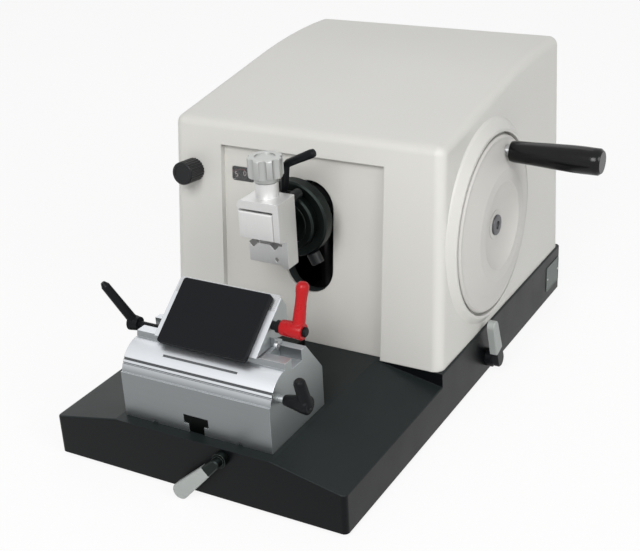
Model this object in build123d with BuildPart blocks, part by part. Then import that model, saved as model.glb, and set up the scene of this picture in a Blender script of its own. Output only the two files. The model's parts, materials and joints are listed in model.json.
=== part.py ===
from build123d import *
import os
from math import asin, cos, hypot, radians, sin, sqrt, tan

# Rotary microtome. Millimetres, +Z up. The origin is on the desk under the middle of the base,
# +Y runs from the knife end to the back and +X towards the handwheel side.

# ---------------------------------------------------------------- fits
running = 0.05          # radial clearance of a shaft in its bearing
sliding = 0.3           # gap between plain sliding faces
loose = 1.5             # gap between pieces that only pass each other

# ---------------------------------------------------------------- base
foot_height = 4.0
foot_radius = 14.0
foot_inset = 16.0       # foot centre from the side of the base
foot_front_y = -225.0
foot_rear_y = 150.0
base_width = 312.0
base_length = 537.0
base_corner = 5.0
base_top = 57.6
base_wall = 7.0
base_floor_z = 36.0     # underside of the thick deck
cover_thickness = 2.0
rib_thickness = 10.0
deck_half = 84.0        # half width of the level part of the deck
shoulder_z = 43.1       # height of the side wall in front of the housing
base_edge = 1.5

# ---------------------------------------------------------------- housing
housing_front_y = -70.0
housing_rear_y = 266.0
housing_inset = 2.0     # side of the housing from the side of the base, at its foot
housing_side_draft = 1.4
front_lean = 6.15       # backward lean of the front wall
housing_wall = 4.0
housing_round = 10.0
roof_front_z = 275.6
roof_bend_y = 118.0
roof_bend_z = 299.5
roof_rear_z = 305.6
recess_centre_x = -1.8
recess_width = 181.6
recess_top_z = 252.0
recess_depth = 6.5
recess_lip = 5.0
panel_thickness = 3.0

# ---------------------------------------------------------------- specimen axis and stroke
axis_x = 5.5
axis_z = 200.0
stroke = 61.0
slot_width = 54.0
slot_low_z = 112.0
slot_high_z = 227.0
slot_frame_wall = 3.0
slot_frame_depth = 12.0

# ---------------------------------------------------------------- handwheel
wheel_y = 55.0
wheel_z = 165.0
wheel_radius = 90.0
wheel_gap = 3.0
wheel_rim = 5.5         # rim, raised web and dish floor, outward from the side of the housing
wheel_web = 12.5
dish_floor = 4.5
dish_radius = 45.0
web_land = 12.0
hub_radius = 15.0
collar_radius = 105.0
collar_height = 4.0
shaft_radius = 12.0
shaft_left_x = 82.0
grip_y = 75.9
grip_z = 236.5
spindle_radius = 5.0
grip_gap = 2.0
grip_length = 90.0
grip_cap = 12.0         # closed end of the grip
grip_profile = ((0.0, 8.8), (0.38, 12.2), (0.66, 14.0), (0.97, 12.2))  # share of length, radius
grip_edge = 3.0

# ---------------------------------------------------------------- crank, guide and carriage
crank_radius = 44.0
crank_width = 12.0
pin_radius = 6.0
pin_length = 12.0
bearing_width = 14.0
bearing_radius = 26.0
bearing_inner_x = 90.0
bearing_outer_inset = 26.0
column_radius = 7.0
column_pitch = 56.0
column_y = 30.0
guide_foot = 12.0
bridge_low_z = 256.0
carriage_width = 78.0
carriage_depth = 36.0
carriage_height = 46.0
yoke_thickness = 8.0
yoke_border = 8.0
cylinder_radius = 18.0
cylinder_rear_y = 60.0
screw_radius = 5.0
journal_radius = 4.0
bracket_y = 112.0
bracket_thickness = 6.0
feed_gear_radius = 20.0

# ---------------------------------------------------------------- specimen head
flange_radius = 38.5
flange_rear_y = -70.0
flange_front_y = -84.0
ring_radius = 29.0
ring_front_y = -92.5
head_edge = 1.5
ball_y = -86.0
ball_radius = 22.0
ball_cut_y = -77.0
ball_floor_y = -73.5
swing_y = -101.0
swing_pin_radius = 3.5
tongue_thickness = 10.0
ear_thickness = 7.0
ear_radius = 6.5
clamp_rear_y = -110.5
clamp_depth = 30.0
clamp_left_x = -17.0
clamp_right_x = 27.5
clamp_low_z = 201.0
clamp_high_z = 238.0
cheek_low_z = 170.0
cheek_thickness = 6.0
back_thickness = 4.5
clamp_top_thickness = 8.5
clamp_edge = 2.0
jaw_play = 2.0          # gap over the moving jaw when it is fully raised
jaw_floor = 3.0
jaw_depth = 12.0
jaw_height = 19.0
jaw_low_z = 172.0
clamp_neck_radius = 11.0
clamp_neck_top = 252.0
clamp_screw_radius = 5.0
knob_radius = 19.0
knob_top_z = 280.0
knob_flutes = 8
release_hub_radius = 5.0
release_bar_radius = 3.5
release_y = -99.0
release_hub_edge = 0.5    # hub's end face beyond the bar
release_path = ((-13.0, 0.0), (-9.0, 29.0), (22.0, 44.0))  # bends of the bar, from the hub
lock_screw_angle = -62.0

# ---------------------------------------------------------------- section thickness setting
setting_share = 0.5277  # place of the knob between the recess and the side of the housing
setting_z = 223.0
setting_radius = 13.5
setting_length = 25.0
setting_shaft_radius = 4.0
window_inset = 21.6     # window centre from the left side of the recess
window_z = 223.0
window_width = 26.0
window_height = 15.0
dial_radius = 34.0
dial_thickness = 3.0
dial_drop = 28.0        # dial centre below the window
dial_gear_radius = 43.0
gear_thickness = 4.0
dial_pin_radius = 3.0

# ---------------------------------------------------------------- coarse feed wheel
coarse_y = 70.0
coarse_z = 170.0
coarse_radius = 34.0
coarse_width = 16.0
coarse_shaft_radius = 6.0
coarse_handle_offset = 23.0
coarse_handle_radius = 6.5
coarse_handle_length = 26.0
coarse_inner_x = -70.0
coarse_bearing_inset = 44.0
coarse_bearing_radius = 16.0
pulley_radius = 18.0
pulley_width = 8.0

# ---------------------------------------------------------------- knife rail and holder base
rail_front_y = -256.0
rail_rear_y = -84.0
slot_mouth = 16.7
slot_head = 26.5
slot_mouth_z = 66.0
slot_top_z = 75.0
holder_half = 79.2
holder_front_y = -257.0
holder_rear_y = -165.0
holder_step_z = 103.0
holder_step = 2.0
holder_shoulder_y = -231.0
holder_shoulder_z = 126.0
ridge_front_y = -227.0
ridge_z = 131.5
way_front_y = -216.0
way_rear_y = -199.0
way_floor_z = 121.0
ridge_rear_y = -191.0
holder_back_z = 98.0
line_radius = 0.9
notch_width = 5.0
notch_height = 3.0
notch_x = 46.0

# ---------------------------------------------------------------- blade holder
edge_y = -182.0
edge_z = 171.5
plate_tilt = 38.5
plate_centre_x = -2.2
plate_width = 94.5
plate_start = 2.5
plate_end = 68.5
plate_thickness = 5.0
plate_corner = 3.0
blade_width = 16.0
blade_thickness = 0.5
blade_length = 106.0
block_width = 109.0
block_rear_y = -176.0
block_shoulder_z = 160.0
block_nose_z = 132.6
segment_radius = 38.0
seat_front_y = -206.0
seat_rear_y = -194.0
seat_width = 118.0

# ---------------------------------------------------------------- clamping levers
red_y = -200.5
red_z = 151.0
red_shaft_radius = 4.0
red_hub_start = 58.5
red_hub_end = 84.0
red_hub_radius = 9.0
red_arm_radius = 6.0
red_neck_radius = 5.1
red_neck_height = 25.0
red_arm_height = 37.5
red_ball_radius = 6.5
red_lean = 18.0         # rearward lean of the arm at rest
cap_radius = 4.5
cap_length = 3.0
lever_stud_radius = 3.0
lever_stud_depth = 18.0
left_stud_y = -208.0
left_stud_z = 126.5
left_hub_gap = 11.8
left_hub_length = 10.0
left_hub_radii = (6.5, 7.8)
left_arm = (-18.3, -14.0, 41.0)
left_arm_radii = (4.8, 4.2)
right_stud_y = -238.5
right_stud_z = 103.5
right_hub_gap = 4.5
right_hub_length = 21.0
right_hub_radii = (5.8, 10.0)
right_arm = (4.0, -4.5, 21.5)
right_arm_radii = (6.0, 5.8)

# ---------------------------------------------------------------- base levers
rail_lever_x = 33.6
rail_lever_z = 48.5
rail_lever_shaft = 4.0
rail_shaft_reach = 60.0
rail_lever_length = 56.0
rail_lever_angle = 224.0
rail_boss_radius = 7.0
rail_boss_length = 6.0
rail_arm_thickness = 8.0
rail_arm_root = 4.6
rail_arm_tip = 8.0
rail_grip_start = 14.0
lock_y = 44.0
lock_z = 20.0
lock_hub_radius = 9.5
lock_hub_length = 7.0
lock_arm_thickness = 8.0
lock_arm_length = 47.0
lock_arm_lean = 18.0
lock_arm_root = 8.0
lock_arm_tip = 6.0
lock_grip_start = 13.0
lock_shaft_radius = 4.0
lever_edge = 1.0

# ---------------------------------------------------------------- derived values
lean_slope = tan(radians(front_lean))
front_plane = Plane(
    origin=(0, housing_front_y, base_top),
    x_dir=(1, 0, 0),
    z_dir=(0, -cos(radians(front_lean)), sin(radians(front_lean))),
)
rise_scale = cos(radians(front_lean))
recess_top = (recess_top_z - base_top) / rise_scale
panel_back = recess_depth + panel_thickness
centre_min = (Align.CENTER, Align.CENTER, Align.MIN)
wheel_plane = Plane(origin=(0, wheel_y, wheel_z), x_dir=(0, 1, 0), z_dir=(1, 0, 0))
housing_half = base_width / 2 - housing_inset
wheel_back_x = housing_half
wheel_rim_x = housing_half + wheel_rim
wheel_face_x = housing_half + wheel_web
dish_x = housing_half + dish_floor
collar_x = housing_half + collar_height
grip_start_x = wheel_face_x + grip_gap
grip_end_x = grip_start_x + grip_length
bearing_outer_x = housing_half - bearing_outer_inset
coarse_bearing_x = coarse_bearing_inset - housing_half
recess_left_x = recess_centre_x - recess_width / 2
setting_x = recess_left_x - setting_share * (housing_half + recess_left_x)
window_x = recess_left_x + window_inset
pin_z = wheel_z + stroke / 2
crank_left_x = shaft_left_x - crank_width
pin_left_x = crank_left_x - pin_length
yoke_left_x = pin_left_x - loose - yoke_thickness
carriage_low_z = axis_z - carriage_height / 2
column_xs = (axis_x - column_pitch / 2, axis_x + column_pitch / 2)
clamp_front_y = clamp_rear_y - clamp_depth
clamp_centre_x = (clamp_left_x + clamp_right_x) / 2
clamp_screw_y = clamp_rear_y - 11.0
slot_centre_z = (slot_low_z + slot_high_z) / 2

os.makedirs("parts", exist_ok=True)


def save(piece, name):
    piece.label = name
    export_step(piece, f"parts/{name}.step")


def outward(plane):
    """Axis along a plane's normal, for picking the face that lies furthest out."""
    return Axis(plane.origin, plane.z_dir)


def on_front(z):
    """Distance up the leaning front wall for a height above the desk."""
    return (z - base_top) / rise_scale


def wheel_side_x(z):
    """Half width of the housing at a height, from its side draft."""
    return housing_half - (z - base_top) * tan(radians(housing_side_draft))


# ================================================================ base
with BuildPart() as base_casting:
    with BuildSketch(Plane.XY.offset(foot_height)):
        RectangleRounded(base_width, base_length, base_corner)
    extrude(amount=base_top - foot_height)
    # level deck with sloping shoulders in front of the housing
    slope = (base_top - shoulder_z) / (base_width / 2 - deck_half)
    outside = base_width / 2 + base_wall
    with BuildSketch(Plane.XZ.offset(-housing_front_y)):
        for side in (-1, 1):
            with BuildLine():
                Polyline(
                    (side * deck_half, base_top),
                    (side * outside, base_top - slope * (outside - deck_half)),
                    (side * outside, base_top + base_wall),
                    (side * deck_half, base_top + base_wall),
                    close=True,
                )
            make_face()
    extrude(amount=base_length, mode=Mode.SUBTRACT)
    top_edges = edges().filter_by(lambda e: e.center().Z > shoulder_z - 1)
    fillet(top_edges.filter_by(Axis.Y), base_edge)
    # pockets under the deck, left open for the bottom cover
    inner_width = base_width - 2 * base_wall
    inner_length = base_length - 2 * base_wall
    with BuildSketch(Plane.XY.offset(foot_height)):
        RectangleRounded(inner_width, inner_length, base_corner / 2)
    extrude(amount=cover_thickness, mode=Mode.SUBTRACT)
    pocket = (inner_length - 2 * rib_thickness) / 3
    with BuildSketch(Plane.XY.offset(foot_height)):
        with GridLocations(0, pocket + rib_thickness, 1, 3):
            RectangleRounded(inner_width - base_wall, pocket, base_corner)
    extrude(amount=base_floor_z - foot_height, mode=Mode.SUBTRACT)
    # bores for the rail clamp shaft and the handwheel lock shaft
    with BuildSketch(Plane.XZ.offset(base_length / 2)):
        with Locations((rail_lever_x, rail_lever_z)):
            Circle(rail_lever_shaft + running)
    extrude(amount=-(base_length / 2 + housing_front_y - loose), mode=Mode.SUBTRACT)
    with BuildSketch(Plane.YZ.offset(base_width / 2)):
        with Locations((lock_y, lock_z)):
            Circle(lock_shaft_radius + running)
    extrude(amount=-2 * base_wall, mode=Mode.SUBTRACT)
save(base_casting.part, "base_casting")

with BuildPart() as base_cover:
    with BuildSketch(Plane.XY.offset(foot_height)):
        RectangleRounded(inner_width - 2 * sliding, inner_length - 2 * sliding, base_corner / 2)
    extrude(amount=cover_thickness)
save(base_cover.part, "base_cover")

with BuildPart() as rubber_feet:
    foot_x = base_width / 2 - foot_inset
    feet = [(x, y) for x in (-foot_x, foot_x) for y in (foot_front_y, foot_rear_y)]
    with Locations(*[(x, y, 0) for x, y in feet]):
        Cone(foot_radius - 2, foot_radius, foot_height, align=centre_min)
save(rubber_feet.part, "rubber_feet")

with BuildPart() as knife_rail:
    with BuildSketch(Plane.XZ.offset(-rail_rear_y)):
        with BuildLine():
            stem = slot_mouth / 2 - sliding
            head = slot_head / 2 - sliding
            head_low = slot_mouth_z + sliding
            head_high = slot_top_z - sliding
            Polyline(
                (-stem, base_top), (stem, base_top), (stem, head_low), (head, head_low),
                (head, head_high), (-head, head_high), (-head, head_low), (-stem, head_low),
                close=True,
            )
        make_face()
    extrude(amount=rail_rear_y - rail_front_y)
    chamfer(edges().filter_by(Axis.Y).group_by(Axis.Z)[-1], 1)
save(knife_rail.part, "knife_rail")


# ================================================================ housing
def housing_block(inset):
    """Drafted block under the curved roof, moved in from the outer skin by inset."""
    low = base_top
    front = housing_front_y + inset / rise_scale
    rear = housing_rear_y - inset
    with BuildPart() as block:
        with BuildSketch(Plane.YZ):
            with BuildLine():
                roof_y = front + (roof_front_z - low) * lean_slope
                Line((rear, low), (front, low))
                Line((front, low), (roof_y, roof_front_z - inset))
                Line((roof_y, roof_front_z - inset), (roof_bend_y, roof_bend_z - inset))
                roof_slope = (roof_bend_y - roof_y, roof_bend_z - roof_front_z)
                TangentArc((roof_bend_y, roof_bend_z - inset), (rear, roof_rear_z - inset),
                           tangent=roof_slope)
                Line((rear, roof_rear_z - inset), (rear, low))
            make_face()
        extrude(amount=housing_half, both=True)
        with BuildSketch(Plane.XY.offset(low)):
            Rectangle(2 * (housing_half - inset), 2 * base_length)
        extrude(amount=roof_rear_z, taper=housing_side_draft, mode=Mode.INTERSECT)
        soft = block.edges().filter_by(lambda e: e.center().Z > low + 1)
        if inset:
            chamfer(soft, housing_round - inset)
        else:
            fillet(soft, housing_round)
    return block.part


outer_block = housing_block(0)
inner_block = housing_block(housing_wall)
collar_inner = wheel_radius + wheel_gap

with BuildPart() as housing_cover:
    add(outer_block)
    # raised cone around the handwheel
    with BuildSketch(Plane.XY.offset(wheel_z)):
        with BuildLine():
            root_x = wheel_side_x(wheel_z + collar_radius) - housing_wall / 2
            Polyline(
                (root_x, wheel_y), (root_x, wheel_y + collar_radius + 4),
                (wheel_side_x(wheel_z), wheel_y + collar_radius),
                (collar_x, wheel_y + collar_inner + 3), (collar_x, wheel_y),
                close=True,
            )
        make_face()
    revolve(axis=Axis((0, wheel_y, wheel_z), (1, 0, 0)))
    add(inner_block, mode=Mode.SUBTRACT)
    # recess of the wheel and hole of the main shaft
    with BuildSketch(wheel_plane.offset(wheel_side_x(wheel_z))):
        Circle(collar_inner)
    extrude(amount=housing_half, mode=Mode.SUBTRACT)
    with BuildSketch(wheel_plane.offset(0)):
        Circle(shaft_radius + loose)
    extrude(amount=housing_half * 2, mode=Mode.SUBTRACT)
    # inward lip round the front recess, then the opening itself
    with BuildSketch(front_plane.offset(-housing_wall)):
        with Locations((recess_centre_x, 0)):
            Rectangle(recess_width + 2 * recess_lip, 2 * (recess_top + recess_lip))
        with Locations((recess_centre_x, -recess_top)):
            Rectangle(2 * base_width, 2 * recess_top, mode=Mode.SUBTRACT)
    extrude(amount=-(recess_depth - housing_wall))
    with BuildSketch(front_plane.offset(recess_depth)):
        with Locations((recess_centre_x, 0)):
            Rectangle(recess_width, 2 * recess_top)
    extrude(amount=-2 * panel_back - housing_wall, mode=Mode.SUBTRACT)
    # level foot of the front wall and of the lip
    with BuildSketch(Plane.XY.offset(base_top)):
        Rectangle(2 * base_width, 2 * base_length)
    extrude(amount=-base_top, mode=Mode.SUBTRACT)
    # spindle hole of the thickness knob, shaft hole of the coarse wheel
    with BuildSketch(front_plane.offset(loose)):
        with Locations((setting_x, on_front(setting_z))):
            Circle(setting_shaft_radius + running)
    extrude(amount=-2 * housing_wall, mode=Mode.SUBTRACT)
    with BuildSketch(Plane.YZ.offset(-housing_half)):
        with Locations((coarse_y, coarse_z)):
            Circle(coarse_shaft_radius + loose)
    extrude(amount=4 * housing_wall, mode=Mode.SUBTRACT)
save(housing_cover.part, "housing_cover")

with BuildPart() as front_panel:
    with BuildSketch(front_plane.offset(-recess_depth)):
        with Locations((recess_centre_x, 0)):
            Rectangle(recess_width + 2 * recess_lip, 2 * (recess_top + recess_lip))
        with Locations((axis_x, on_front(slot_centre_z))):
            SlotOverall((slot_high_z - slot_low_z) / rise_scale, slot_width, rotation=90,
                        mode=Mode.SUBTRACT)
        with Locations((window_x, on_front(window_z))):
            RectangleRounded(window_width, window_height, 3, mode=Mode.SUBTRACT)
    extrude(amount=-panel_thickness)
    with BuildSketch(Plane.XY.offset(base_top)):
        Rectangle(2 * base_width, 2 * base_length)
    extrude(amount=-2 * roof_rear_z, mode=Mode.SUBTRACT)
save(front_panel.part, "front_panel")

with BuildPart() as slot_frame:
    with BuildSketch(front_plane.offset(-panel_back)):
        slot_height = (slot_high_z - slot_low_z) / rise_scale
        with Locations((axis_x, on_front(slot_centre_z))):
            SlotOverall(slot_height + 2 * slot_frame_wall, slot_width + 2 * slot_frame_wall,
                        rotation=90)
            SlotOverall(slot_height, slot_width, rotation=90, mode=Mode.SUBTRACT)
    extrude(amount=-slot_frame_depth)
save(slot_frame.part, "slot_frame")

with BuildPart() as window_glass:
    with BuildSketch(front_plane.offset(-panel_back)):
        with Locations((window_x, on_front(window_z))):
            RectangleRounded(window_width - 2 * sliding, window_height - 2 * sliding, 3)
    extrude(amount=panel_thickness - sliding)
save(window_glass.part, "window_glass")

# ================================================================ section thickness setting
dial_plane = front_plane.offset(-panel_back - loose)
dial_up = on_front(window_z) - dial_drop
gear_plane = dial_plane.offset(-dial_thickness)
gear_centres = hypot(window_x - setting_x, on_front(setting_z) - dial_up)
pinion_radius = gear_centres - dial_gear_radius - sliding

with BuildPart() as dial_pin:
    with BuildSketch(front_plane.offset(-panel_back)):
        with Locations((window_x, dial_up)):
            Circle(dial_pin_radius)
    extrude(amount=-(loose + dial_thickness + gear_thickness + loose))
    with BuildSketch(gear_plane.offset(-gear_thickness - loose)):
        with Locations((window_x, dial_up)):
            Circle(2 * dial_pin_radius)
    extrude(amount=-loose)
save(dial_pin.part, "dial_pin")

with BuildPart() as thickness_dial:
    with BuildSketch(dial_plane):
        with Locations((window_x, dial_up)):
            Circle(dial_radius)
    extrude(amount=-dial_thickness)
    with BuildSketch(gear_plane):
        with Locations((window_x, dial_up)):
            Circle(dial_gear_radius)
    extrude(amount=-gear_thickness)
    with BuildSketch(dial_plane):
        with Locations((window_x, dial_up)):
            Circle(dial_pin_radius + running)
    extrude(amount=-(dial_thickness + gear_thickness), mode=Mode.SUBTRACT)
save(thickness_dial.part, "thickness_dial")

with BuildPart() as thickness_knob:
    with BuildSketch(front_plane.offset(sliding)):
        with Locations((setting_x, on_front(setting_z))):
            Circle(setting_radius)
    extrude(amount=setting_length)
    chamfer(thickness_knob.faces().sort_by(outward(front_plane))[-1].edges(), 2)
save(thickness_knob.part, "thickness_knob")

with BuildPart() as knob_spindle:
    with BuildSketch(front_plane.offset(sliding)):
        with Locations((setting_x, on_front(setting_z))):
            Circle(setting_shaft_radius)
    extrude(amount=-(sliding + panel_back + loose + dial_thickness))
    with BuildSketch(gear_plane):
        with Locations((setting_x, on_front(setting_z))):
            Circle(pinion_radius)
    extrude(amount=-gear_thickness)
save(knob_spindle.part, "knob_spindle")

# ================================================================ handwheel
with BuildPart() as handwheel:
    with BuildSketch(Plane.XY.offset(wheel_z)):
        with BuildLine():
            rim_y = wheel_y + wheel_radius
            Polyline(
                (wheel_back_x, wheel_y + shaft_radius), (wheel_back_x, rim_y - 2),
                (wheel_back_x + 2, rim_y), (wheel_rim_x - 2, rim_y), (wheel_rim_x, rim_y - 2),
                (wheel_rim_x, rim_y - 5), (wheel_face_x, wheel_y + dish_radius + web_land),
                (wheel_face_x, wheel_y + dish_radius),
            )
            dish_low = (dish_x, wheel_y + hub_radius + 4)
            dish_mid = (dish_x + 2, wheel_y + (dish_radius + hub_radius) / 2 + 4)
            ThreePointArc((wheel_face_x, wheel_y + dish_radius), dish_mid, dish_low)
            Polyline(
                dish_low, (dish_x, wheel_y + shaft_radius), (wheel_back_x, wheel_y + shaft_radius),
            )
        make_face()
    revolve(axis=Axis((0, wheel_y, wheel_z), (1, 0, 0)))
    with BuildSketch(Plane.YZ.offset(wheel_back_x)):
        with Locations((grip_y, grip_z)):
            Circle(spindle_radius)
    extrude(amount=wheel_face_x, mode=Mode.SUBTRACT)
save(handwheel.part, "handwheel")

with BuildPart() as main_shaft:
    with BuildSketch(wheel_plane.offset(shaft_left_x)):
        Circle(shaft_radius)
    extrude(amount=dish_x - shaft_left_x)
save(main_shaft.part, "main_shaft")

with BuildPart() as hub_nut:
    with BuildSketch(wheel_plane.offset(dish_x)):
        Circle(hub_radius)
    extrude(amount=2)
    with BuildSketch(wheel_plane.offset(dish_x + 2)):
        RegularPolygon(8, 6)
    extrude(amount=4)
save(hub_nut.part, "hub_nut")

with BuildPart() as grip_spindle:
    with BuildSketch(Plane.YZ.offset(wheel_back_x)):
        with Locations((grip_y, grip_z)):
            Circle(spindle_radius)
    extrude(amount=grip_end_x - grip_cap - wheel_back_x)
save(grip_spindle.part, "grip_spindle")

with BuildPart() as handwheel_grip:
    with BuildSketch(Plane.XY.offset(grip_z)):
        with BuildLine():
            bore = grip_y + spindle_radius + running
            outline = [(grip_start_x + share * grip_length, grip_y + radius)
                       for share, radius in grip_profile]
            Polyline(
                (grip_start_x, bore), *outline, (grip_end_x, outline[-1][1] - grip_edge),
                (grip_end_x, grip_y), (grip_end_x - grip_cap + loose, grip_y),
                (grip_end_x - grip_cap + loose, bore), (grip_start_x, bore),
            )
        make_face()
    revolve(axis=Axis((0, grip_y, grip_z), (1, 0, 0)))
save(handwheel_grip.part, "handwheel_grip")

with BuildPart() as crank_disc:
    with BuildSketch(wheel_plane.offset(crank_left_x)):
        Circle(crank_radius)
    extrude(amount=crank_width)
    with BuildSketch(wheel_plane.offset(crank_left_x)):
        with PolarLocations(crank_radius * 0.55, 3, start_angle=180, angular_range=180):
            Circle(crank_radius * 0.16)
        with Locations((0, stroke / 2)):
            Circle(pin_radius)
    extrude(amount=crank_width, mode=Mode.SUBTRACT)
save(crank_disc.part, "crank_disc")

with BuildPart() as crank_pin:
    with BuildSketch(Plane.YZ.offset(pin_left_x)):
        with Locations((wheel_y, pin_z)):
            Circle(pin_radius)
    extrude(amount=pin_length + crank_width)
save(crank_pin.part, "crank_pin")


def shaft_bearing(left_x, centre_y, centre_z, radius, outer, width):
    """Pedestal with a foot on the base and an open bore along X."""
    with BuildPart() as pedestal:
        with BuildSketch(Plane.YZ.offset(left_x)):
            with Locations((centre_y, centre_z)):
                Circle(outer)
            with Locations((centre_y, (base_top + centre_z) / 2)):
                Rectangle(1.4 * outer, centre_z - base_top)
            with Locations((centre_y, base_top + guide_foot / 2)):
                Rectangle(3.4 * outer, guide_foot)
            with Locations((centre_y, centre_z)):
                Circle(radius + running, mode=Mode.SUBTRACT)
        extrude(amount=width)
    return pedestal.part


save(shaft_bearing(bearing_inner_x, wheel_y, wheel_z, shaft_radius, bearing_radius, bearing_width),
     "shaft_bearing_inner")
save(shaft_bearing(bearing_outer_x, wheel_y, wheel_z, shaft_radius, bearing_radius, bearing_width),
     "shaft_bearing_outer")

# ================================================================ vertical guide and carriage
with BuildPart() as guide_foot_block:
    with BuildSketch(Plane.XY.offset(base_top)):
        with Locations((axis_x, column_y)):
            RectangleRounded(column_pitch + 6 * column_radius, 6 * column_radius, 4)
        with Locations(*[(x, column_y) for x in column_xs]):
            Circle(column_radius, mode=Mode.SUBTRACT)
    extrude(amount=guide_foot)
save(guide_foot_block.part, "guide_foot")

for side, column_x in zip(("left", "right"), column_xs):
    with BuildPart() as guide_column:
        with BuildSketch(Plane.XY.offset(base_top)):
            with Locations((column_x, column_y)):
                Circle(column_radius)
        extrude(amount=bridge_low_z + guide_foot - base_top)
    save(guide_column.part, f"guide_column_{side}")

with BuildPart() as guide_bridge:
    with BuildSketch(Plane.XY.offset(bridge_low_z)):
        with Locations((axis_x, column_y)):
            SlotOverall(column_pitch + 4 * column_radius, 4 * column_radius)
        with Locations(*[(x, column_y) for x in column_xs]):
            Circle(column_radius, mode=Mode.SUBTRACT)
    extrude(amount=guide_foot)
save(guide_bridge.part, "guide_bridge")

with BuildPart() as carriage:
    with BuildSketch(Plane.XY.offset(carriage_low_z)):
        with Locations((axis_x, column_y)):
            RectangleRounded(carriage_width, carriage_depth, 4)
        with Locations(*[(x, column_y) for x in column_xs]):
            Circle(column_radius + running, mode=Mode.SUBTRACT)
    extrude(amount=carriage_height)
    with BuildSketch(Plane.XZ.offset(-column_y - carriage_depth)):
        with Locations((axis_x, axis_z)):
            Circle(cylinder_radius + running)
    extrude(amount=2 * carriage_depth, mode=Mode.SUBTRACT)
    carriage_right_x = axis_x + carriage_width / 2
    # arm that reaches the yoke beside the crank
    with BuildSketch(Plane.YZ.offset(carriage_right_x)):
        with Locations((column_y, pin_z)):
            Rectangle(carriage_depth - 10, 2 * (pin_radius + yoke_border))
    extrude(amount=yoke_left_x - carriage_right_x)
save(carriage.part, "carriage")

with BuildPart() as yoke_plate:
    with BuildSketch(Plane.YZ.offset(yoke_left_x)):
        with Locations((wheel_y, pin_z)):
            yoke_slot = stroke + 2 * (pin_radius + sliding)
            SlotOverall(yoke_slot + 2 * yoke_border, 2 * (pin_radius + sliding + yoke_border))
            SlotOverall(yoke_slot, 2 * (pin_radius + sliding), mode=Mode.SUBTRACT)
    extrude(amount=yoke_thickness)
save(yoke_plate.part, "yoke_plate")

with BuildPart() as feed_bracket:
    arm_left_x = axis_x - carriage_width / 2
    arm_width = 6.0
    plate_right_x = axis_x + cylinder_radius
    rear_y = column_y + carriage_depth / 2
    with BuildSketch(Plane.XY.offset(axis_z - cylinder_radius + 2)):
        with BuildLine():
            Polyline(
                (arm_left_x, rear_y), (arm_left_x, bracket_y + bracket_thickness),
                (plate_right_x, bracket_y + bracket_thickness), (plate_right_x, bracket_y),
                (arm_left_x + arm_width, bracket_y), (arm_left_x + arm_width, rear_y),
                close=True,
            )
        make_face()
    extrude(amount=2 * (cylinder_radius - 2))
    with BuildSketch(Plane.XZ.offset(-bracket_y)):
        with Locations((axis_x, axis_z)):
            Circle(journal_radius + running)
    extrude(amount=-bracket_thickness, mode=Mode.SUBTRACT)
save(feed_bracket.part, "feed_bracket")

with BuildPart() as object_cylinder:
    with BuildSketch(Plane.XZ.offset(-flange_rear_y)):
        with Locations((axis_x, axis_z)):
            Circle(cylinder_radius)
    extrude(amount=flange_rear_y - cylinder_rear_y)
    with BuildSketch(Plane.XZ.offset(-cylinder_rear_y)):
        with Locations((axis_x, axis_z)):
            Circle(screw_radius + sliding)
    extrude(amount=cylinder_rear_y - 2, mode=Mode.SUBTRACT)
save(object_cylinder.part, "object_cylinder")

with BuildPart() as feed_screw:
    with BuildSketch(Plane.XZ.offset(-20)):
        with Locations((axis_x, axis_z)):
            Circle(screw_radius)
    extrude(amount=-(bracket_y - sliding - 20))
    with BuildSketch(Plane.XZ.offset(-bracket_y + sliding)):
        with Locations((axis_x, axis_z)):
            Circle(journal_radius)
    extrude(amount=-(bracket_thickness + 2 * sliding + gear_thickness))
save(feed_screw.part, "feed_screw")

with BuildPart() as feed_gear:
    with BuildSketch(Plane.XZ.offset(-(bracket_y + bracket_thickness + sliding))):
        with Locations((axis_x, axis_z)):
            Circle(feed_gear_radius)
            Circle(journal_radius, mode=Mode.SUBTRACT)
    extrude(amount=-gear_thickness)
save(feed_gear.part, "feed_gear")

# ================================================================ orientation head
def ball_chord(y, radius):
    """Radius at y of a sphere round the ball's centre."""
    return sqrt(radius ** 2 - (y - ball_y) ** 2)


def coned_seat(rear_y, front_y):
    """Ends of a cone that keeps its play from the ball between two places along the axis."""
    spread = asin((rear_y - ball_y) / seat_radius) - asin((front_y - ball_y) / seat_radius)
    corner = seat_radius / cos(spread / 2)
    return [(axis_x + ball_chord(y, corner), y) for y in (rear_y, front_y)]


specimen_axis = Axis((axis_x, 0, axis_z), (0, 1, 0))
seat_radius = ball_radius + sliding

with BuildPart() as head_flange:
    with BuildSketch(Plane.XY.offset(axis_z)):
        with BuildLine():
            seat_floor, seat_mouth = coned_seat(ball_floor_y, flange_front_y)
            Polyline(
                seat_floor, (axis_x, ball_floor_y), (axis_x, flange_rear_y),
                (axis_x + flange_radius - head_edge, flange_rear_y),
                (axis_x + flange_radius, flange_rear_y - head_edge),
                (axis_x + flange_radius, flange_front_y + head_edge),
                (axis_x + flange_radius - head_edge, flange_front_y), seat_mouth, seat_floor,
            )
        make_face()
    revolve(axis=specimen_axis)
save(head_flange.part, "head_flange")

with BuildPart() as socket_ring:
    with BuildSketch(Plane.XY.offset(axis_z)):
        with BuildLine():
            ring_rear, ring_mouth = coned_seat(flange_front_y, ring_front_y)
            Polyline(
                ring_rear, (axis_x + ring_radius, flange_front_y),
                (axis_x + ring_radius, ring_front_y + head_edge),
                (axis_x + ring_radius - head_edge, ring_front_y), ring_mouth, ring_rear,
            )
        make_face()
    revolve(axis=specimen_axis)
save(socket_ring.part, "socket_ring")

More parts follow.
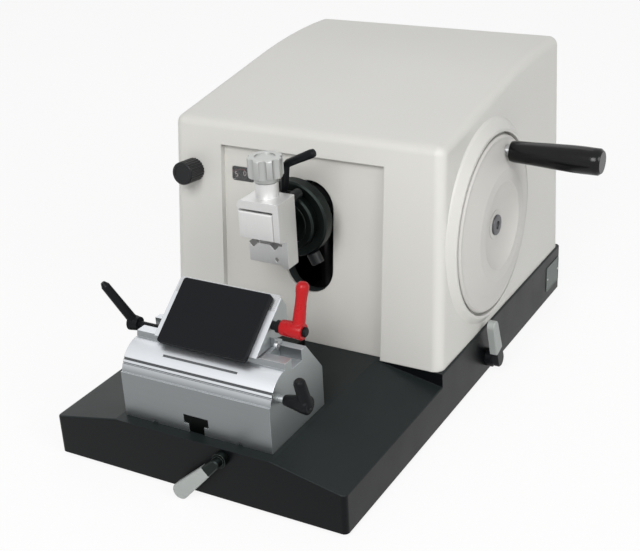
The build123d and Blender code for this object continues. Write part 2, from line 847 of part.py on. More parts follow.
screw_dir = (cos(radians(lock_screw_angle)), 0, sin(radians(lock_screw_angle)))
lock_start = flange_radius + sliding
lock_y_head = (flange_rear_y + flange_front_y) / 2
lock_plane = Plane(
    origin=(axis_x + lock_start * screw_dir[0], lock_y_head, axis_z + lock_start * screw_dir[2]),
    x_dir=(0, 1, 0), z_dir=screw_dir,
)
with BuildPart() as head_lock_screw:
    with BuildSketch(lock_plane):
        Circle(6.5)
    extrude(amount=12)
    chamfer(head_lock_screw.edges().filter_by(GeomType.CIRCLE), 0.8)
save(head_lock_screw.part, "head_lock_screw")

with BuildPart() as tilt_ball:
    with BuildSketch(Plane.XY.offset(axis_z)):
        with BuildLine():
            ball_rear = (axis_x + ball_chord(ball_cut_y, ball_radius), ball_cut_y)
            ball_front = (axis_x + ball_chord(ring_front_y, ball_radius), ring_front_y)
            ThreePointArc(ball_rear, (axis_x + ball_radius, ball_y), ball_front)
            Polyline(ball_front, (axis_x, ring_front_y), (axis_x, ball_cut_y), ball_rear)
        make_face()
    revolve(axis=specimen_axis)
    # tongue with the hole of the swing pin
    with BuildSketch(Plane.XY.offset(axis_z - tongue_thickness / 2)):
        with Locations((axis_x, swing_y)):
            Circle(ear_radius)
        with Locations((axis_x, (swing_y + ball_y) / 2)):
            Rectangle(2 * ear_radius, ball_y - swing_y)
    extrude(amount=tongue_thickness)
    with BuildSketch(Plane.XY.offset(axis_z - tongue_thickness / 2)):
        with Locations((axis_x, swing_y)):
            Circle(swing_pin_radius + running)
    extrude(amount=tongue_thickness, mode=Mode.SUBTRACT)
save(tilt_ball.part, "tilt_ball")

carrier_half = tongue_thickness / 2 + sliding + ear_thickness
with BuildPart() as clamp_carrier:
    with BuildSketch(Plane.XZ.offset(-clamp_rear_y)):
        with Locations((axis_x, axis_z)):
            RectangleRounded(2 * carrier_half + 8, 2 * carrier_half + 4, 3)
    extrude(amount=-3)
    for low in (-carrier_half, tongue_thickness / 2 + sliding):
        with BuildSketch(Plane.XY.offset(axis_z + low)):
            with Locations((axis_x, swing_y)):
                Circle(ear_radius)
            with Locations((axis_x, (swing_y + clamp_rear_y + 3) / 2)):
                Rectangle(2 * ear_radius, swing_y - clamp_rear_y - 3)
            with Locations((axis_x, swing_y)):
                Circle(swing_pin_radius, mode=Mode.SUBTRACT)
        extrude(amount=ear_thickness)
save(clamp_carrier.part, "clamp_carrier")

with BuildPart() as swing_pin:
    with BuildSketch(Plane.XY.offset(axis_z - carrier_half - 1)):
        with Locations((axis_x, swing_y)):
            Circle(swing_pin_radius)
    extrude(amount=2 * carrier_half + 2)
save(swing_pin.part, "swing_pin")

# ================================================================ specimen clamp
clamp_width = clamp_right_x - clamp_left_x
cheek_left_x = clamp_right_x - cheek_thickness
back_front_y = clamp_rear_y - back_thickness
jaw_rear_y = back_front_y - sliding
clamp_top_low_z = clamp_high_z - clamp_top_thickness
with BuildPart() as clamp_frame:
    # top bar over the moving jaw, rounded on its left shoulder
    with BuildSketch(Plane.XZ.offset(-clamp_rear_y)):
        with Locations((clamp_centre_x, clamp_high_z - clamp_top_thickness / 2)):
            Rectangle(clamp_width, clamp_top_thickness)
        shoulders = vertices().group_by(Axis.Y)[-1].sort_by(Axis.X)
        fillet(shoulders[0], clamp_top_thickness * 0.75)
        chamfer(shoulders[1], clamp_edge)
    extrude(amount=clamp_depth)
    # right cheek beside the moving jaw, shallower beside the fixed jaw
    with BuildSketch(Plane.YZ.offset(cheek_left_x)):
        with BuildLine():
            cheek_front = jaw_rear_y - jaw_depth - 1
            Polyline(
                (clamp_rear_y, cheek_low_z), (clamp_rear_y, clamp_top_low_z),
                (clamp_front_y, clamp_top_low_z), (clamp_front_y, clamp_low_z),
                (cheek_front, clamp_low_z - 4), (cheek_front, cheek_low_z),
                close=True,
            )
        make_face()
    extrude(amount=cheek_thickness)
    with Locations((clamp_centre_x, clamp_rear_y - back_thickness / 2, cheek_low_z)):
        Box(clamp_width, back_thickness, clamp_top_low_z - cheek_low_z, align=centre_min)
    with Locations((axis_x, clamp_screw_y, clamp_high_z)):
        Cylinder(clamp_neck_radius, clamp_neck_top - clamp_high_z, align=centre_min)
    with Locations((axis_x, clamp_screw_y, clamp_top_low_z)):
        Cylinder(clamp_screw_radius + running, clamp_neck_top - clamp_top_low_z,
                 align=centre_min, mode=Mode.SUBTRACT)
save(clamp_frame.part, "clamp_frame")

moving_right_x = cheek_left_x - sliding
with BuildPart() as clamp_moving_jaw:
    moving_height = clamp_top_low_z - jaw_play - clamp_low_z
    with Locations(((clamp_left_x + moving_right_x) / 2, (clamp_front_y + jaw_rear_y) / 2,
                    clamp_low_z)):
        Box(moving_right_x - clamp_left_x, jaw_rear_y - clamp_front_y, moving_height,
            align=centre_min)
    chamfer(clamp_moving_jaw.edges().filter_by(Axis.Z).group_by(Axis.Y)[0].sort_by(Axis.X)[0], 2)
    with Locations((axis_x, clamp_screw_y, clamp_low_z + jaw_floor)):
        Cylinder(clamp_screw_radius + sliding, moving_height, align=centre_min,
                 mode=Mode.SUBTRACT)
save(clamp_moving_jaw.part, "clamp_moving_jaw")

jaw_left_x = clamp_left_x + 1.5
with BuildPart() as clamp_fixed_jaw:
    with BuildSketch(Plane.XZ.offset(-back_front_y)):
        with BuildLine():
            jaw_top = jaw_low_z + jaw_height
            vee = 5.0
            Polyline(
                (jaw_left_x, jaw_low_z), (cheek_left_x, jaw_low_z), (cheek_left_x, jaw_top),
                (cheek_left_x - 4, jaw_top), (cheek_left_x - 4 - vee, jaw_top - vee),
                (cheek_left_x - 4 - 2 * vee, jaw_top), (jaw_left_x + 2 * vee, jaw_top),
                (jaw_left_x + vee, jaw_top - vee), (jaw_left_x, jaw_top),
                close=True,
            )
        make_face()
    extrude(amount=jaw_depth)
    with BuildSketch(Plane.XZ.offset(-back_front_y + jaw_depth)):
        with Locations((cheek_left_x - 7, jaw_low_z + 5)):
            Circle(2.2)
    extrude(amount=-5, mode=Mode.SUBTRACT)
save(clamp_fixed_jaw.part, "clamp_fixed_jaw")

screw_low_z = clamp_low_z + jaw_floor + loose
screw_top_z = knob_top_z - 8
with BuildPart() as clamp_screw:
    with Locations((axis_x, clamp_screw_y, screw_low_z)):
        Cylinder(clamp_screw_radius, screw_top_z - screw_low_z, align=centre_min)
save(clamp_screw.part, "clamp_screw")

with BuildPart() as clamp_knob:
    knob_low = clamp_neck_top + sliding
    with BuildSketch(Plane.XY.offset(knob_low)):
        with Locations((axis_x, clamp_screw_y)):
            Circle(knob_radius)
            with PolarLocations(knob_radius + 5.5, knob_flutes, start_angle=22.5):
                Circle(7.5, mode=Mode.SUBTRACT)
    extrude(amount=knob_top_z - knob_low)
    with Locations((axis_x, clamp_screw_y, knob_low)):
        Cone(knob_radius - 4, knob_radius + 24, knob_top_z - knob_low, align=centre_min,
             mode=Mode.INTERSECT)
    chamfer(clamp_knob.faces().sort_by(Axis.Z)[-1].edges(), 1.2)
    with Locations((axis_x, clamp_screw_y, knob_low)):
        Cylinder(clamp_screw_radius, screw_top_z - knob_low, align=centre_min,
                 mode=Mode.SUBTRACT)
save(clamp_knob.part, "clamp_knob")

with BuildPart() as clamp_release_lever:
    hub_x = clamp_right_x - release_hub_radius
    hub_z = clamp_high_z - release_hub_radius
    with BuildSketch(Plane.XZ.offset(-clamp_rear_y - sliding)):
        with Locations((hub_x, hub_z)):
            Circle(release_hub_radius)
    hub_end_y = release_y + release_bar_radius + release_hub_edge
    extrude(amount=-(hub_end_y - clamp_rear_y - sliding))
    with BuildLine() as lever_path:
        bends = [(hub_x + dx, release_y, hub_z + dz) for dx, dz in release_path]
        Polyline((hub_x, release_y, hub_z), *bends)
    with BuildSketch(Plane(origin=lever_path.line @ 0, z_dir=lever_path.line % 0)):
        Circle(release_bar_radius)
    sweep(path=lever_path.line, transition=Transition.RIGHT)
    chamfer(clamp_release_lever.faces().sort_by(Axis.X)[-1].edges(), release_bar_radius / 3)
save(clamp_release_lever.part, "clamp_release_lever")

# ================================================================ coarse feed wheel
coarse_left_x = -wheel_side_x(coarse_z) - sliding - coarse_width
with BuildPart() as coarse_wheel:
    with BuildSketch(Plane.YZ.offset(coarse_left_x)):
        with Locations((coarse_y, coarse_z)):
            Circle(coarse_radius)
            Circle(coarse_shaft_radius, mode=Mode.SUBTRACT)
    extrude(amount=coarse_width - loose)
    chamfer(coarse_wheel.edges().filter_by(GeomType.CIRCLE).sort_by(SortBy.LENGTH)[-2:], 2)
    with BuildSketch(Plane.YZ.offset(coarse_left_x)):
        with Locations((coarse_y, coarse_z)):
            Circle(coarse_radius - 6)
            Circle(coarse_shaft_radius + 5, mode=Mode.SUBTRACT)
    extrude(amount=4, mode=Mode.SUBTRACT)
    with BuildSketch(Plane.YZ.offset(coarse_left_x + 6)):
        with Locations((coarse_y, coarse_z + coarse_handle_offset)):
            Circle(coarse_handle_radius)
    extrude(amount=-coarse_handle_length)
save(coarse_wheel.part, "coarse_wheel")

with BuildPart() as coarse_shaft:
    with BuildSketch(Plane.YZ.offset(coarse_left_x)):
        with Locations((coarse_y, coarse_z)):
            Circle(coarse_shaft_radius)
    extrude(amount=coarse_inner_x - coarse_left_x)
    with BuildSketch(Plane.YZ.offset(coarse_inner_x - pulley_width)):
        with Locations((coarse_y, coarse_z)):
            Circle(pulley_radius)
    extrude(amount=pulley_width)
save(coarse_shaft.part, "coarse_shaft")

save(shaft_bearing(coarse_bearing_x, coarse_y, coarse_z, coarse_shaft_radius,
                   coarse_bearing_radius, bearing_width), "coarse_bearing")

# ================================================================ knife holder base
holder_arc_start = (holder_front_y + holder_step, holder_step_z)
holder_arc_end = (holder_shoulder_y, holder_shoulder_z)
with BuildPart() as holder_base:
    with BuildSketch(Plane.YZ.offset(-holder_half)):
        with BuildLine():
            arc = TangentArc(holder_arc_end, holder_arc_start, tangent=(-1, -0.12))
            Polyline(
                holder_arc_start, (holder_front_y, holder_step_z), (holder_front_y, base_top),
                (holder_rear_y, base_top), (holder_rear_y, holder_back_z),
                (ridge_rear_y, ridge_z), (way_rear_y, ridge_z), (way_rear_y, way_floor_z),
                (way_front_y, way_floor_z), (way_front_y, ridge_z), (ridge_front_y, ridge_z),
                (ridge_front_y - 1, holder_shoulder_z), holder_arc_end,
            )
        make_face()
    extrude(amount=2 * holder_half)
    # T-slot that rides on the rail
    with BuildSketch(Plane.XZ.offset(-holder_rear_y)):
        with Locations((0, (base_top + slot_mouth_z) / 2)):
            Rectangle(slot_mouth, slot_mouth_z - base_top)
        with Locations((0, (slot_mouth_z + slot_top_z) / 2)):
            Rectangle(slot_head, slot_top_z - slot_mouth_z)
    extrude(amount=holder_rear_y - holder_front_y, mode=Mode.SUBTRACT)
    # fine lines along the front curve
    with BuildSketch(Plane.YZ.offset(-holder_half)):
        with Locations(arc @ 0.66, arc @ 0.78):
            Circle(line_radius)
    extrude(amount=2 * holder_half, mode=Mode.SUBTRACT)
    with BuildSketch(Plane.YZ.offset(-holder_half / 2)):
        with Locations(arc @ 0.36):
            Circle(line_radius)
    extrude(amount=holder_half, mode=Mode.SUBTRACT)
    # small notches in the front edge and the stud hole of the right lever
    with Locations((-notch_x, holder_front_y, base_top), (notch_x, holder_front_y, base_top)):
        Box(notch_width, 3, 2 * notch_height, mode=Mode.SUBTRACT)
    with BuildSketch(Plane.YZ.offset(holder_half)):
        with Locations((right_stud_y, right_stud_z)):
            Circle(lever_stud_radius + running)
    extrude(amount=-20, mode=Mode.SUBTRACT)
save(holder_base.part, "holder_base")

# ================================================================ blade holder
tilt = radians(plate_tilt)
blade_plane = Plane(
    origin=(plate_centre_x, edge_y, edge_z), x_dir=(1, 0, 0), z_dir=(0, -sin(tilt), cos(tilt)),
)


def seat_height(y, radius):
    """Height of the arc about the cutting edge at a given Y."""
    return edge_z - sqrt(radius ** 2 - (y - edge_y) ** 2)


seat_radius = segment_radius + sliding
with BuildPart() as lateral_slide:
    with BuildSketch(Plane.YZ.offset(plate_centre_x - seat_width / 2)):
        with BuildLine():
            mid_y = (seat_front_y + seat_rear_y) / 2
            bar_front = way_front_y + sliding
            bar_rear = way_rear_y - sliding
            seat_low = ridge_z + sliding
            front_point = (seat_front_y, seat_height(seat_front_y, seat_radius))
            rear_point = (seat_rear_y, seat_height(seat_rear_y, seat_radius))
            ThreePointArc(front_point, (mid_y, seat_height(mid_y, seat_radius)), rear_point)
            Polyline(
                rear_point, (seat_rear_y, seat_low), (bar_rear, seat_low),
                (bar_rear, way_floor_z + sliding), (bar_front, way_floor_z + sliding),
                (bar_front, seat_low), (seat_front_y, seat_low), front_point,
            )
        make_face()
    extrude(amount=seat_width)
    with BuildSketch(Plane.YZ.offset(plate_centre_x - seat_width / 2)):
        with Locations((left_stud_y, left_stud_z)):
            Circle(lever_stud_radius + running)
    extrude(amount=20, mode=Mode.SUBTRACT)
save(lateral_slide.part, "lateral_slide")

with BuildPart() as blade_holder:
    with BuildSketch(Plane.YZ.offset(plate_centre_x - block_width / 2)):
        with BuildLine():
            run = (edge_z - block_nose_z) / sin(tilt)
            nose = (edge_y - run * cos(tilt), block_nose_z)
            arc_front = (seat_front_y - sliding, seat_height(seat_front_y - sliding, segment_radius))
            arc_rear = (block_rear_y, seat_height(block_rear_y, segment_radius))
            low_point = (edge_y - 12, seat_height(edge_y - 12, segment_radius))
            start = (edge_y - 2 * cos(tilt), edge_z - 2 * sin(tilt))
            Polyline(start, nose, (arc_front[0], block_nose_z), arc_front)
            ThreePointArc(arc_front, low_point, arc_rear)
            Polyline(arc_rear, (block_rear_y, block_shoulder_z), start)
        make_face()
    extrude(amount=block_width)
    # bed of the blade and bore of the clamping shaft
    with BuildSketch(blade_plane):
        with Locations((0, -blade_width / 2)):
            Rectangle(block_width, blade_width)
    extrude(amount=-blade_thickness, mode=Mode.SUBTRACT)
    with BuildSketch(Plane.YZ.offset(plate_centre_x + block_width / 2)):
        with Locations((red_y, red_z)):
            Circle(red_shaft_radius + running)
    extrude(amount=-30, mode=Mode.SUBTRACT)
save(blade_holder.part, "blade_holder")

with BuildPart() as blade:
    with BuildSketch(blade_plane):
        with Locations((0, -blade_width / 2)):
            Rectangle(blade_length, blade_width)
    extrude(amount=-blade_thickness)
    chamfer(blade.edges().filter_by(Axis.X).sort_by(Axis.Y)[-2:].sort_by(Axis.Z)[0],
            length=blade_thickness * 0.8, length2=1.5)
save(blade.part, "blade")

with BuildPart() as pressure_plate:
    with BuildSketch(blade_plane):
        with Locations((0, -(plate_start + plate_end) / 2)):
            RectangleRounded(plate_width, plate_end - plate_start, plate_corner)
    extrude(amount=plate_thickness)
    chamfer(pressure_plate.faces().sort_by(outward(blade_plane))[-1].edges(), 0.8)
save(pressure_plate.part, "pressure_plate")

with BuildPart() as red_lever_shaft:
    block_right_x = plate_centre_x + block_width / 2
    with BuildSketch(Plane.YZ.offset(block_right_x - 28)):
        with Locations((red_y, red_z)):
            Circle(red_shaft_radius)
    extrude(amount=red_hub_start - block_right_x + 28)
    with BuildSketch(Plane.YZ.offset(red_hub_start)):
        with Locations((red_y, red_z)):
            Circle(red_hub_radius - 1)
    extrude(amount=-cap_length)
save(red_lever_shaft.part, "red_lever_shaft")

with BuildPart() as red_lever:
    with BuildSketch(Plane.YZ.offset(red_hub_start)):
        with Locations((red_y, red_z)):
            Circle(red_hub_radius)
    extrude(amount=red_hub_end - red_hub_start)
    chamfer(red_lever.edges().filter_by(GeomType.CIRCLE), 1)
    # tapered arm with a ball end
    lean = radians(red_lean)
    arm_plane = Plane(origin=(red_hub_end - red_arm_radius, red_y, red_z), x_dir=(1, 0, 0),
                      z_dir=(0, -cos(lean), sin(lean)))
    with BuildSketch(arm_plane):
        with BuildLine():
            ball_side = (red_ball_radius, red_arm_height)
            Polyline((0, red_arm_height + red_ball_radius), (0, 0), (red_arm_radius, 0),
                     (red_neck_radius, red_neck_height), ball_side)
            TangentArc(ball_side, (0, red_arm_height + red_ball_radius), tangent=(0, 1))
        make_face()
    revolve(axis=Axis(arm_plane.origin, arm_plane.y_dir))
save(red_lever.part, "red_lever")

with BuildPart() as red_lever_cap:
    with BuildSketch(Plane.YZ.offset(red_hub_end)):
        with Locations((red_y, red_z)):
            Circle(cap_radius)
    extrude(amount=cap_length)
    chamfer(red_lever_cap.edges().filter_by(GeomType.CIRCLE).sort_by(Axis.X)[-1], 1)
save(red_lever_cap.part, "red_lever_cap")


def clamping_lever(start_x, direction, y, z, hub_gap, hub_length, hub_radii, arm, arm_radii):
    """Tapered hub with a slanted arm, on a stud along X."""
    axis_plane = Plane(origin=(start_x, y, z), x_dir=(0, 1, 0), z_dir=(direction, 0, 0))
    root, tip = arm_radii
    reach = sqrt(sum(a * a for a in arm))
    outer_x = start_x + direction * (hub_gap + hub_length - root)
    arm_plane = Plane(origin=(outer_x, y, z), z_dir=arm)
    with BuildPart() as lever:
        with BuildSketch(axis_plane.offset(-lever_stud_depth)):
            Circle(lever_stud_radius)
        extrude(amount=lever_stud_depth + hub_gap)
        with Locations(axis_plane.offset(hub_gap)):
            Cone(*hub_radii, hub_length, align=centre_min)
        with Locations(arm_plane):
            Cone(root, tip, reach, align=centre_min)
        with Locations(arm_plane.offset(reach)):
            Cone(tip, tip / 2, tip, align=centre_min)
    return lever.part


save(clamping_lever(plate_centre_x - seat_width / 2, -1, left_stud_y, left_stud_z,
                    holder_half + left_hub_gap + plate_centre_x - seat_width / 2,
                    left_hub_length, left_hub_radii, left_arm, left_arm_radii),
     "lateral_lock_lever")
save(clamping_lever(holder_half, 1, right_stud_y, right_stud_z, right_hub_gap,
                    right_hub_length, right_hub_radii, right_arm, right_arm_radii),
     "segment_lock_lever")


# ================================================================ base levers
def lever_arm(plane, length, angle, root, tip, thickness, grip_start, keep):
    """Root or grip of a flat arm with rounded ends, parted at right angles to the arm."""
    along = plane.x_dir * cos(radians(angle)) + plane.y_dir * sin(radians(angle))
    with BuildPart() as arm:
        with BuildSketch(plane):
            Circle(root)
            with Locations((length * cos(radians(angle)), length * sin(radians(angle)))):
                Circle(tip)
            make_hull()
        extrude(amount=thickness)
        chamfer(arm.faces().sort_by(outward(plane))[-1].edges(), lever_edge)
        split(bisect_by=Plane(origin=plane.origin + along * grip_start, z_dir=along), keep=keep)
    return arm.part


rail_plane = Plane(origin=(rail_lever_x, -base_length / 2, rail_lever_z), x_dir=(1, 0, 0),
                   z_dir=(0, -1, 0))
rail_arm = (rail_plane.offset(sliding + rail_boss_length), rail_lever_length, rail_lever_angle,
            rail_arm_root, rail_arm_tip, rail_arm_thickness, rail_grip_start)
with BuildPart() as rail_clamp_shaft:
    with BuildSketch(rail_plane.offset(-rail_shaft_reach)):
        Circle(rail_lever_shaft)
    extrude(amount=rail_shaft_reach + sliding)
    with BuildSketch(rail_plane.offset(sliding)):
        Circle(rail_boss_radius)
    extrude(amount=rail_boss_length)
    add(lever_arm(*rail_arm, Keep.BOTTOM))
save(rail_clamp_shaft.part, "rail_clamp_shaft")
save(lever_arm(*rail_arm, Keep.TOP), "rail_clamp_lever")

lock_side_plane = Plane(origin=(base_width / 2, lock_y, lock_z), x_dir=(0, 1, 0), z_dir=(1, 0, 0))
lock_arm = (lock_side_plane.offset(sliding + lock_hub_length), lock_arm_length,
            90 + lock_arm_lean, lock_arm_root, lock_arm_tip, lock_arm_thickness, lock_grip_start)
with BuildPart() as wheel_lock_hub:
    with BuildSketch(lock_side_plane.offset(-2 * base_wall + sliding)):
        Circle(lock_shaft_radius)
    extrude(amount=2 * base_wall)
    with BuildSketch(lock_side_plane.offset(sliding)):
        Circle(lock_hub_radius)
    extrude(amount=lock_hub_length)
    add(lever_arm(*lock_arm, Keep.BOTTOM))
save(wheel_lock_hub.part, "wheel_lock_hub")
save(lever_arm(*lock_arm, Keep.TOP), "wheel_lock_lever")
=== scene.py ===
import json
from math import atan2, cos, radians, sin, tan
import bpy
from mathutils import Matrix, Vector


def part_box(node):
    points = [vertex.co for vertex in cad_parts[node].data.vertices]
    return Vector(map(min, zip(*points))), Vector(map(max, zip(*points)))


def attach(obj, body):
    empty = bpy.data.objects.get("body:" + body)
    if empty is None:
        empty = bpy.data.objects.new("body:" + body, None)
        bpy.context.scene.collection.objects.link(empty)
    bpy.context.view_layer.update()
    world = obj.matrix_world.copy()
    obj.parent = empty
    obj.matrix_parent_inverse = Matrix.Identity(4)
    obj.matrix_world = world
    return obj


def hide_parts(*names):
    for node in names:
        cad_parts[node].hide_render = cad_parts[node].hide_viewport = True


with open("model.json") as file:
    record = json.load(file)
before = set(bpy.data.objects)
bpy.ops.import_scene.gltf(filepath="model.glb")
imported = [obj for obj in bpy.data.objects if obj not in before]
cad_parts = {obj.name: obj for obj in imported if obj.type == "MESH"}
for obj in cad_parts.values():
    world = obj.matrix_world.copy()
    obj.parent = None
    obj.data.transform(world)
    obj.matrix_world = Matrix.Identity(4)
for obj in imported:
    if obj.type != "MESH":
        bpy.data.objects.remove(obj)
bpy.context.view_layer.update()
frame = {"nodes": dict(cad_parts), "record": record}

cadNodes = frame["nodes"]
bpy.ops.object.select_all(action="DESELECT")
print("frame loaded:", len(cadNodes), "nodes")


# shader helpers

class Signal:
    # one output socket; arithmetic on it adds Math nodes
    def __init__(self, tree, socket):
        self.tree = tree
        self.socket = socket

    def combine(self, operation, first, second):
        node = self.tree.nodes.new("ShaderNodeMath")
        node.operation = operation
        for slot, value in zip(node.inputs, (first, second)):
            plug(self.tree, slot, value)
        return Signal(self.tree, node.outputs[0])

    def __add__(self, other):
        return self.combine("ADD", self, other)

    def __sub__(self, other):
        return self.combine("SUBTRACT", self, other)

    def __rsub__(self, other):
        return self.combine("SUBTRACT", other, self)

    def __mul__(self, other):
        return self.combine("MULTIPLY", self, other)

    def __pow__(self, other):
        return self.combine("POWER", self, other)

    def __gt__(self, other):
        return self.combine("GREATER_THAN", self, other)


def plug(tree, slot, value):
    if isinstance(value, Signal):
        tree.links.new(value.socket, slot)
    elif isinstance(value, tuple) and slot.type == "RGBA":
        slot.default_value = (*value, 1)
    else:
        slot.default_value = value


# where masks begin and end: likeness of a corner to the flat face, height and side of a normal
masks = dict(bevelSamples=4, flat=0.995, worn=0.85, leaning=0.55, uprightShade=0.15, sideFrom=0.6, sideTo=0.9,
             lineCore=0.6)
# sockets of a node that mixes two colours
mixSockets = dict(factor=0, first=6, second=7, result=2)


class Finish:
    # one material: a Principled shader and the nodes that feed it
    def __init__(self, name, **constants):
        self.material = bpy.data.materials.new(name)
        self.material.use_nodes = True
        self.tree = self.material.node_tree
        self.shader = self.tree.nodes["Principled BSDF"]
        self.place = self.node("TexCoord", output="Object")
        for key, value in constants.items():
            plug(self.tree, self.shader.inputs[key.replace("_", " ")], value)

    def node(self, kind, settings=None, values=None, output=0):
        made = self.tree.nodes.new("ShaderNode" + kind)
        for key, value in (settings or {}).items():
            setattr(made, key, value)
        for key, value in (values or {}).items():
            plug(self.tree, made.inputs[key], value)
        return Signal(self.tree, made.outputs[output])

    def noise(self, scale, detail, stretch=(1, 1, 1), roughness=0.5):
        spot = self.node("Mapping", values={"Vector": self.place, "Scale": Vector(stretch)})
        return self.node("TexNoise", values={"Vector": spot, "Scale": scale, "Detail": detail,
                                             "Roughness": roughness}, output="Fac")

    def mix(self, factor, first, second):
        node = self.tree.nodes.new("ShaderNodeMix")
        node.data_type = "RGBA"
        for key, value in (("factor", factor), ("first", first), ("second", second)):
            plug(self.tree, node.inputs[mixSockets[key]], value)
        return Signal(self.tree, node.outputs[mixSockets["result"]])

    def roundedNormal(self, radius):
        return self.node("Bevel", {"samples": masks["bevelSamples"]}, {"Radius": radius})

    def normalAlong(self, axis):
        normal = self.node("NewGeometry", output="Normal")
        return self.node("SeparateXYZ", values={"Vector": normal}, output=axis)

    def ramp(self, value, start, end):
        # 0 at start, rising to 1 at end
        return self.node("MapRange", values={"Value": value, "From Min": start, "From Max": end})

    def edges(self, radius):
        # 0 on open faces, rising to 1 along worn corners
        pair = {0: self.roundedNormal(radius), 1: self.node("NewGeometry", output="Normal")}
        likeness = self.node("VectorMath", {"operation": "DOT_PRODUCT"}, pair, "Value")
        return self.ramp(likeness, masks["flat"], masks["worn"])

    def standing(self):
        # 1 on faces that stand upright, 0 on those that look up; it places the painted shade on standing
        # faces
        return self.ramp(self.normalAlong("Z"), masks["leaning"], masks["uprightShade"])

    def endward(self):
        # 1 on faces that look along X; it places the painted shade on end faces
        return self.ramp(self.normalAlong("X") ** 2, masks["sideFrom"], masks["sideTo"])

    def alongLine(self, y, z, halfWidth, halfLength):
        # 1 near a groove that runs along X through this y and z; it places the painted shade in the groove
        along, back, height = (self.node("SeparateXYZ", values={"Vector": self.place}, output=axis)
                               for axis in "XYZ")
        away = (back - y) ** 2 + (height - z) ** 2
        near = self.ramp(away, halfWidth ** 2, (halfWidth * masks["lineCore"]) ** 2)
        return near * (1 - (along ** 2 > halfLength ** 2))

    def relief(self, height, distance, radius):
        # bumps of this distance over corners that are shaded round
        rounded = self.roundedNormal(radius)
        values = {"Height": height, "Distance": distance, "Strength": 1.0, "Normal": rounded}
        self.feed("Normal", self.node("Bump", values=values))

    def feed(self, name, value):
        plug(self.tree, self.shader.inputs[name], value)


# finishes

smearFiner = dict(painted=3, moulded=2)     # how much finer the smears are than the clouding


def paintedFinish(name, look):
    # sprayed paint: orange peel, faint clouding, corners rubbed a little lighter or darker
    finish = Finish(name, Coat_Roughness=look["coatRoughness"], IOR=1.5, Specular_IOR_Level=look["gloss"])
    cloud = finish.noise(look["cloudScale"], detail=3)
    corner = finish.edges(look["edge"])
    body = finish.mix(cloud * look["cloud"], look["colour"], look["shade"])
    # standing faces get a darker colour: painted shade
    if "uprightShade" in look:
        body = finish.mix(finish.standing(), body, look["uprightShade"])
    finish.feed("Base Color", finish.mix(corner * look["wear"], body, look["worn"]))
    smear = finish.noise(look["cloudScale"] * smearFiner["painted"], detail=4)
    finish.feed("Roughness", smear * look["smear"] + look["roughness"])
    finish.feed("Coat Weight", look["coat"])
    finish.relief(finish.noise(look["peelScale"], detail=1), look["peel"], look["edge"])
    return finish.material


# shares of clouding, tool marks and grain in the colour, roughness and relief of cut metal
metalMix = dict(cloud=0.6, marks=0.4, grainSmear=0.5, markRelief=0.7, grainRelief=0.3, markRoughness=0.6)


def metalFinish(name, look):
    # cut metal: long tool marks along one axis, fine grain, bright corners
    finish = Finish(name, Metallic=1.0)
    marks = finish.noise(look["markScale"], detail=3, stretch=look["marks"],
                         roughness=metalMix["markRoughness"])
    grain = finish.noise(look["grainScale"], detail=2)
    cloud = finish.noise(look["cloudScale"], detail=3)
    corner = finish.edges(look["edge"])
    body = finish.mix(cloud * metalMix["cloud"] + marks * metalMix["marks"], look["colour"], look["shade"])
    if "uprightShade" in look:
        # standing faces are painted darker than the milled top: painted shade
        body = finish.mix(finish.standing() * look["uprightShadeShare"], body, look["uprightShade"])
    # faces that look along X get a darker colour: painted shade
    if "ends" in look:
        body = finish.mix(finish.endward(), body, look["ends"])
    # dark bands along the listed grooves: painted shade in the grooves
    for line in look.get("lines", ()):
        body = finish.mix(finish.alongLine(**line), body, look["grooveShade"])
    finish.feed("Base Color", finish.mix(corner * look["wear"], body, look["worn"]))
    smear = marks * look["smear"] + grain * look["smear"] * metalMix["grainSmear"]
    finish.feed("Roughness", smear + look["roughness"])
    relief = marks * metalMix["markRelief"] + grain * metalMix["grainRelief"]
    finish.relief(relief, look["depth"], look["edge"])
    return finish.material


def mouldedFinish(name, look):
    # moulded plastic or rubber: faint spark-eroded texture, handling marks on the gloss
    finish = Finish(name, IOR=1.48, Specular_IOR_Level=look["gloss"])
    cloud = finish.noise(look["cloudScale"], detail=3)
    corner = finish.edges(look["edge"])
    body = finish.mix(cloud * look["cloud"], look["colour"], look["shade"])
    finish.feed("Base Color", finish.mix(corner * look["wear"], body, look["worn"]))
    smear = finish.noise(look["cloudScale"] * smearFiner["moulded"], detail=4)
    finish.feed("Roughness", smear * look["smear"] + look["roughness"])
    finish.relief(finish.noise(look["grainScale"], detail=1), look["depth"], look["edge"])
    return finish.material


def clearFinish(name, look):
    # clear sheet with faint smears
    finish = Finish(name, IOR=1.49, Transmission_Weight=1.0, Specular_IOR_Level=look["gloss"])
    finish.feed("Base Color", look["colour"])
    finish.feed("Roughness", finish.noise(look["cloudScale"], detail=3) * look["smear"] + look["roughness"])
    return finish.material


housingLook = dict(colour=(0.62, 0.615, 0.585), shade=(0.575, 0.568, 0.535), worn=(0.70, 0.695, 0.665),
                   cloud=0.5, cloudScale=6, wear=0.35, edge=0.0012, roughness=0.36, smear=0.10,
                   coat=0.06, coatRoughness=0.25, peelScale=1400, peel=0.00004, gloss=0.4)
panelLook = dict(housingLook, colour=(0.61, 0.60, 0.565), shade=(0.565, 0.555, 0.515), roughness=0.40)
wheelLook = dict(housingLook, colour=(0.56, 0.55, 0.525), shade=(0.52, 0.51, 0.485), roughness=0.42,
                 peel=0.00003)
# the standing faces of the base take a darker paint colour: painted shade
baseLook = dict(colour=(0.0100, 0.0135, 0.0140), shade=(0.0150, 0.0195, 0.0200), worn=(0.022, 0.027, 0.029),
                uprightShade=(0.0018, 0.0025, 0.0030),
                cloud=0.8, cloudScale=9, wear=0.5, edge=0.0010, roughness=0.30, smear=0.14,
                coat=0.0, coatRoughness=0.18, peelScale=1100, peel=0.00006, gloss=0.14)
greyLeverLook = dict(housingLook, colour=(0.34, 0.36, 0.35), shade=(0.26, 0.28, 0.27),
                     worn=(0.56, 0.58, 0.57), edge=0.0006, roughness=0.38, cloudScale=30)
